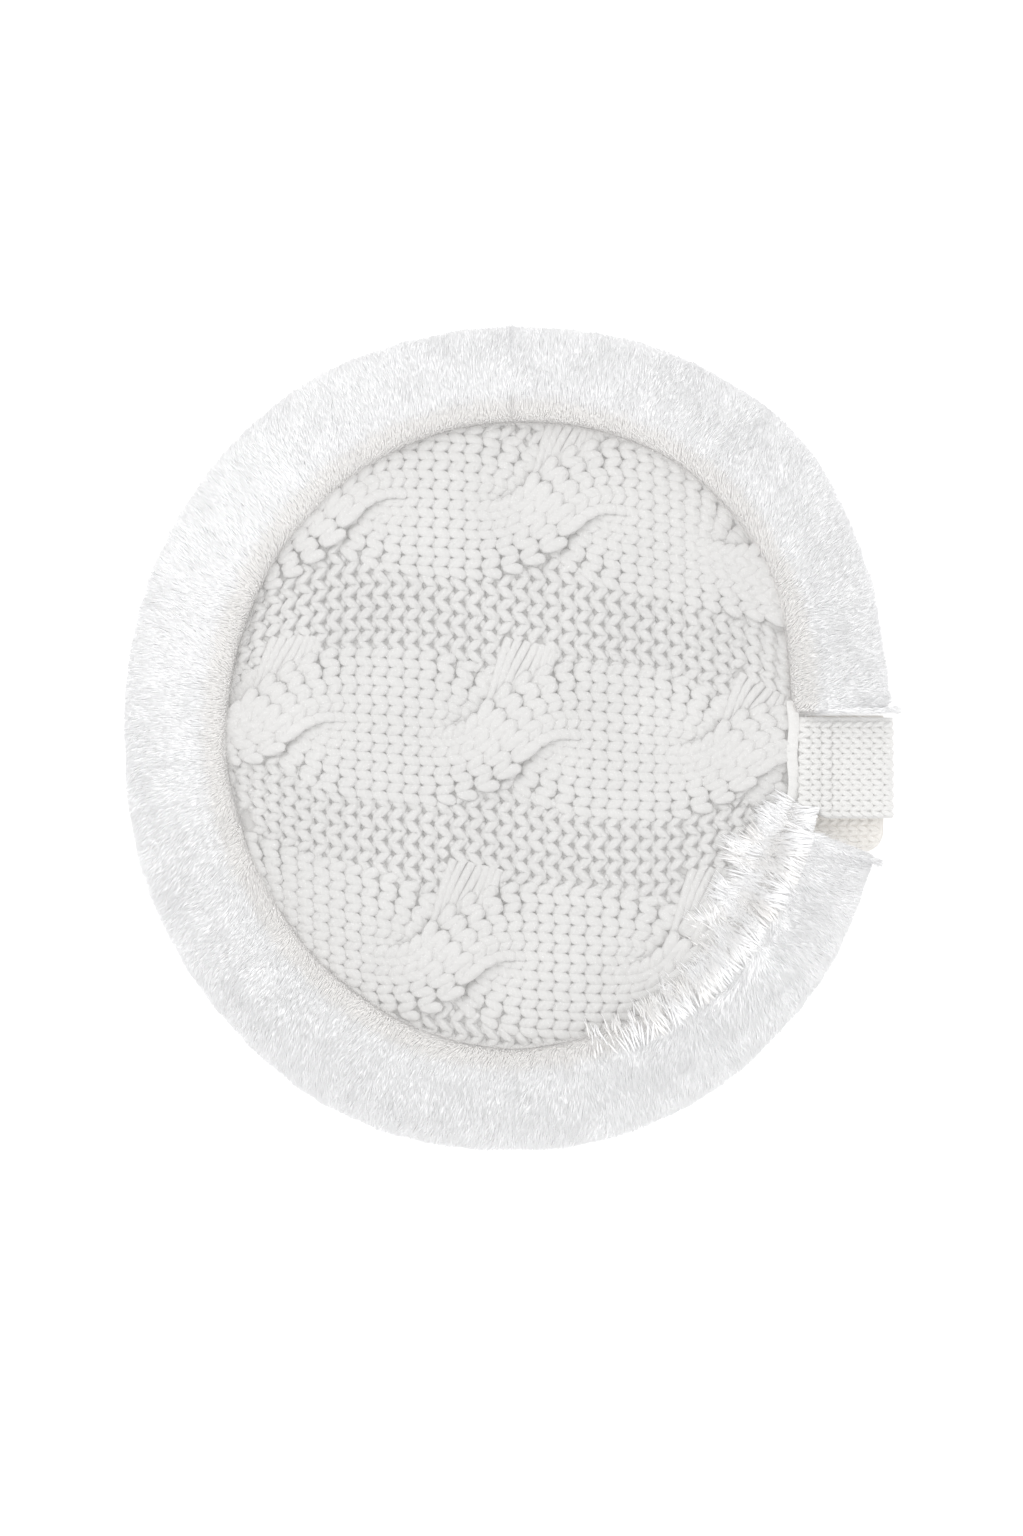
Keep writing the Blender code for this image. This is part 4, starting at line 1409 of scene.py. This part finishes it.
class SKIRT_OT_tab(bpy.types.Operator):
    """Knit the closing tab, its gather band, its lining and the tongue below it"""

    bl_idname = "tree_skirt.tab"
    bl_label = "Closing Tab"

    def execute(self, context):
        self.tab()
        self.tongue()
        return {"FINISHED"}

    def tab(self):
        xs, zs = tab_line()

        def height_at(x, y):
            ruck = 0.5 * MM * math.sin(y / (1.6 * MM)) * max(0.0, 1 - (x - TAB_LOW.x) / (14 * MM))
            return float(np.interp(x, xs, zs)) + ruck

        def inside(x, y):
            gathered = 6.5 * MM * max(0.0, 1 - (x - TAB_LOW.x) / (12 * MM))
            return y > TAB_LOW.y + gathered + 1 * MM and x < TAB_HIGH.x - 1.5 * MM

        def sink(x, y, z):
            return 0, 0, -0.8 * MM if z > 5 * MM else 0

        base = soft_copy("tab_knit", "tab_knit_body", "tab yarn", 3 * MM, sink)
        outline = (TAB_LOW.x + 0.5 * MM, TAB_LOW.y + 1 * MM), (TAB_HIGH.x, TAB_HIGH.y - 1 * MM)
        yarn = finish_named("tab yarn")
        stitches = small_knit("tab_knit_stitches", outline, height_at, 4.8 * MM, 4.8 * MM, yarn, inside)
        lining = soft_copy("tab_lining", "tab_lining_cloth", "woven tape", 4 * MM)
        fit([base, stitches], "tab_knit", "tab root")
        fit([lining], "tab_lining", "tab root")
        band = soft_copy("tab_gather_band", "tab_band_ruched", "tab yarn", 1.2 * MM, self.ruche)
        fit([band], "tab_gather_band", "slit_flap")

    def tongue(self):
        slope = math.tan(math.radians(-18))

        def inside(x, y):
            return y > x * slope + 4.5 * MM and x < TONGUE_HIGH.x - 2 * MM and y < TAB_LOW.y + 6 * MM

        tongue = soft_copy("tongue_knit", "tongue_knit_body", "tongue yarn", 3 * MM)
        shift(tongue, lambda x, y, z: (0, 0, -0.5 * MM if z > 3 * MM else 0))
        rib = small_knit(
            "tongue_knit_stitches", (TONGUE_LOW, TONGUE_HIGH), lambda x, y: TONGUE_HIGH.z - 0.2 * MM,
            4.6 * MM, 5 * MM, finish_named("tongue yarn"), inside,
        )
        fit([tongue, rib], "tongue_knit", "skirt")

    @staticmethod
    def ruche(x, y, z):
        """Gathers across the band."""
        top = (z - BAND_LOW.z) / (BAND_HIGH.z - BAND_LOW.z)
        fold = math.sin(y / (0.7 * MM)) * 0.35 * MM
        return 0.5 * MM * math.sin(y / (4.1 * MM)), 0, top * (2.4 * MM + fold)


class SKIRT_OT_studs(bpy.types.Operator):
    """Give the press studs their plated finish"""

    bl_idname = "tree_skirt.studs"
    bl_label = "Press Studs"

    def execute(self, context):
        metal = finish_named("plated metal")
        for name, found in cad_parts.items():
            if "stud" in name or "socket" in name:
                found.data.materials.clear()
                found.data.materials.append(metal)
        return {"FINISHED"}


# ---------------------------------------------------------------- stage


class SKIRT_OT_stage(bpy.types.Operator):
    """Set the floor, the lights and the camera"""

    bl_idname = "tree_skirt.stage"
    bl_label = "Studio"

    def execute(self, context):
        stage = context.scene.skirt_stage
        white = (1, 1, 1, 1)
        paper = start_finish("floor white", {
            "Base Color": (0.95, 0.95, 0.95, 1), "Roughness": 0.9, "Specular IOR Level": 0.1,
            "Emission Color": white, "Emission Strength": 0.25,
        })[0]
        size = 4.0
        corners = [(-size, -size, 0), (size, -size, 0), (size, size, 0), (-size, size, 0)]
        add_object("Floor", mesh_from("Floor", corners, (), [(0, 1, 2, 3)]), paper)
        world = put(bpy.data.worlds.new("Studio"), use_nodes=True)
        sky = world.node_tree.nodes["Background"]
        sky.inputs["Color"].default_value = white
        sky.inputs["Strength"].default_value = stage.sky
        context.scene.world = world
        self.light("Key", (-0.7, 0.55, 1.1), 0.9, stage.key_power)
        self.light("Fill", (0.8, -0.5, 1.0), 1.0, stage.key_power * 0.3)
        self.camera(context.scene, stage)
        put(context.scene.view_settings, view_transform="Standard", look="None")
        return {"FINISHED"}

    @staticmethod
    def light(name, place, size, power):
        data = put(bpy.data.lights.new(name, "AREA"), size=size, energy=power)
        turn = (-Vector(place)).to_track_quat("-Z", "Y").to_euler()
        made = put(bpy.data.objects.new(name, data), location=place, rotation_euler=turn)
        bpy.context.scene.collection.objects.link(made)

    @staticmethod
    def camera(scene, stage):
        data = put(
            bpy.data.cameras.new("Camera"),
            type="PERSP", sensor_fit="VERTICAL", sensor_height=36, lens=stage.lens, clip_end=20,
        )
        distance = stage.view_height * stage.lens / data.sensor_height
        made = bpy.data.objects.new("Camera", data)
        made.location = (2.5 * MM, -12.8 * MM, distance + KNIT_MID_Z)
        scene.collection.objects.link(made)
        scene.camera = made


# ---------------------------------------------------------------- add-on


class SKIRT_PT_panel(bpy.types.Panel):
    """Sizes, colours and steps of the tree skirt"""

    bl_idname = "SKIRT_PT_panel"
    bl_label = "Tree Skirt"
    bl_space_type = "VIEW_3D"
    bl_region_type = "UI"
    bl_category = "Tree Skirt"

    def draw(self, context):
        for name, kind in SETTINGS.items():
            settings = getattr(context.scene, name)
            box = self.layout.box()
            for key in kind.__annotations__:
                box.prop(settings, key)
        for operator in STEPS:
            self.layout.operator(operator.bl_idname)


STEPS = (
    SKIRT_OT_stage,
    SKIRT_OT_knit,
    SKIRT_OT_fur,
    SKIRT_OT_filling,
    SKIRT_OT_lining,
    SKIRT_OT_tapes,
    SKIRT_OT_tab,
    SKIRT_OT_studs,
)


def register():
    for made in (*SETTINGS.values(), *STEPS, SKIRT_PT_panel):
        bpy.utils.register_class(made)
    for name, kind in SETTINGS.items():
        setattr(bpy.types.Scene, name, PointerProperty(type=kind))


def unregister():
    for name in SETTINGS:
        delattr(bpy.types.Scene, name)
    for made in reversed((*SETTINGS.values(), *STEPS, SKIRT_PT_panel)):
        bpy.utils.unregister_class(made)


def main():
    register()
    for step in STEPS:
        group, name = step.bl_idname.split(".")
        getattr(getattr(bpy.ops, group), name)()


if __name__ == "__main__":
    main()
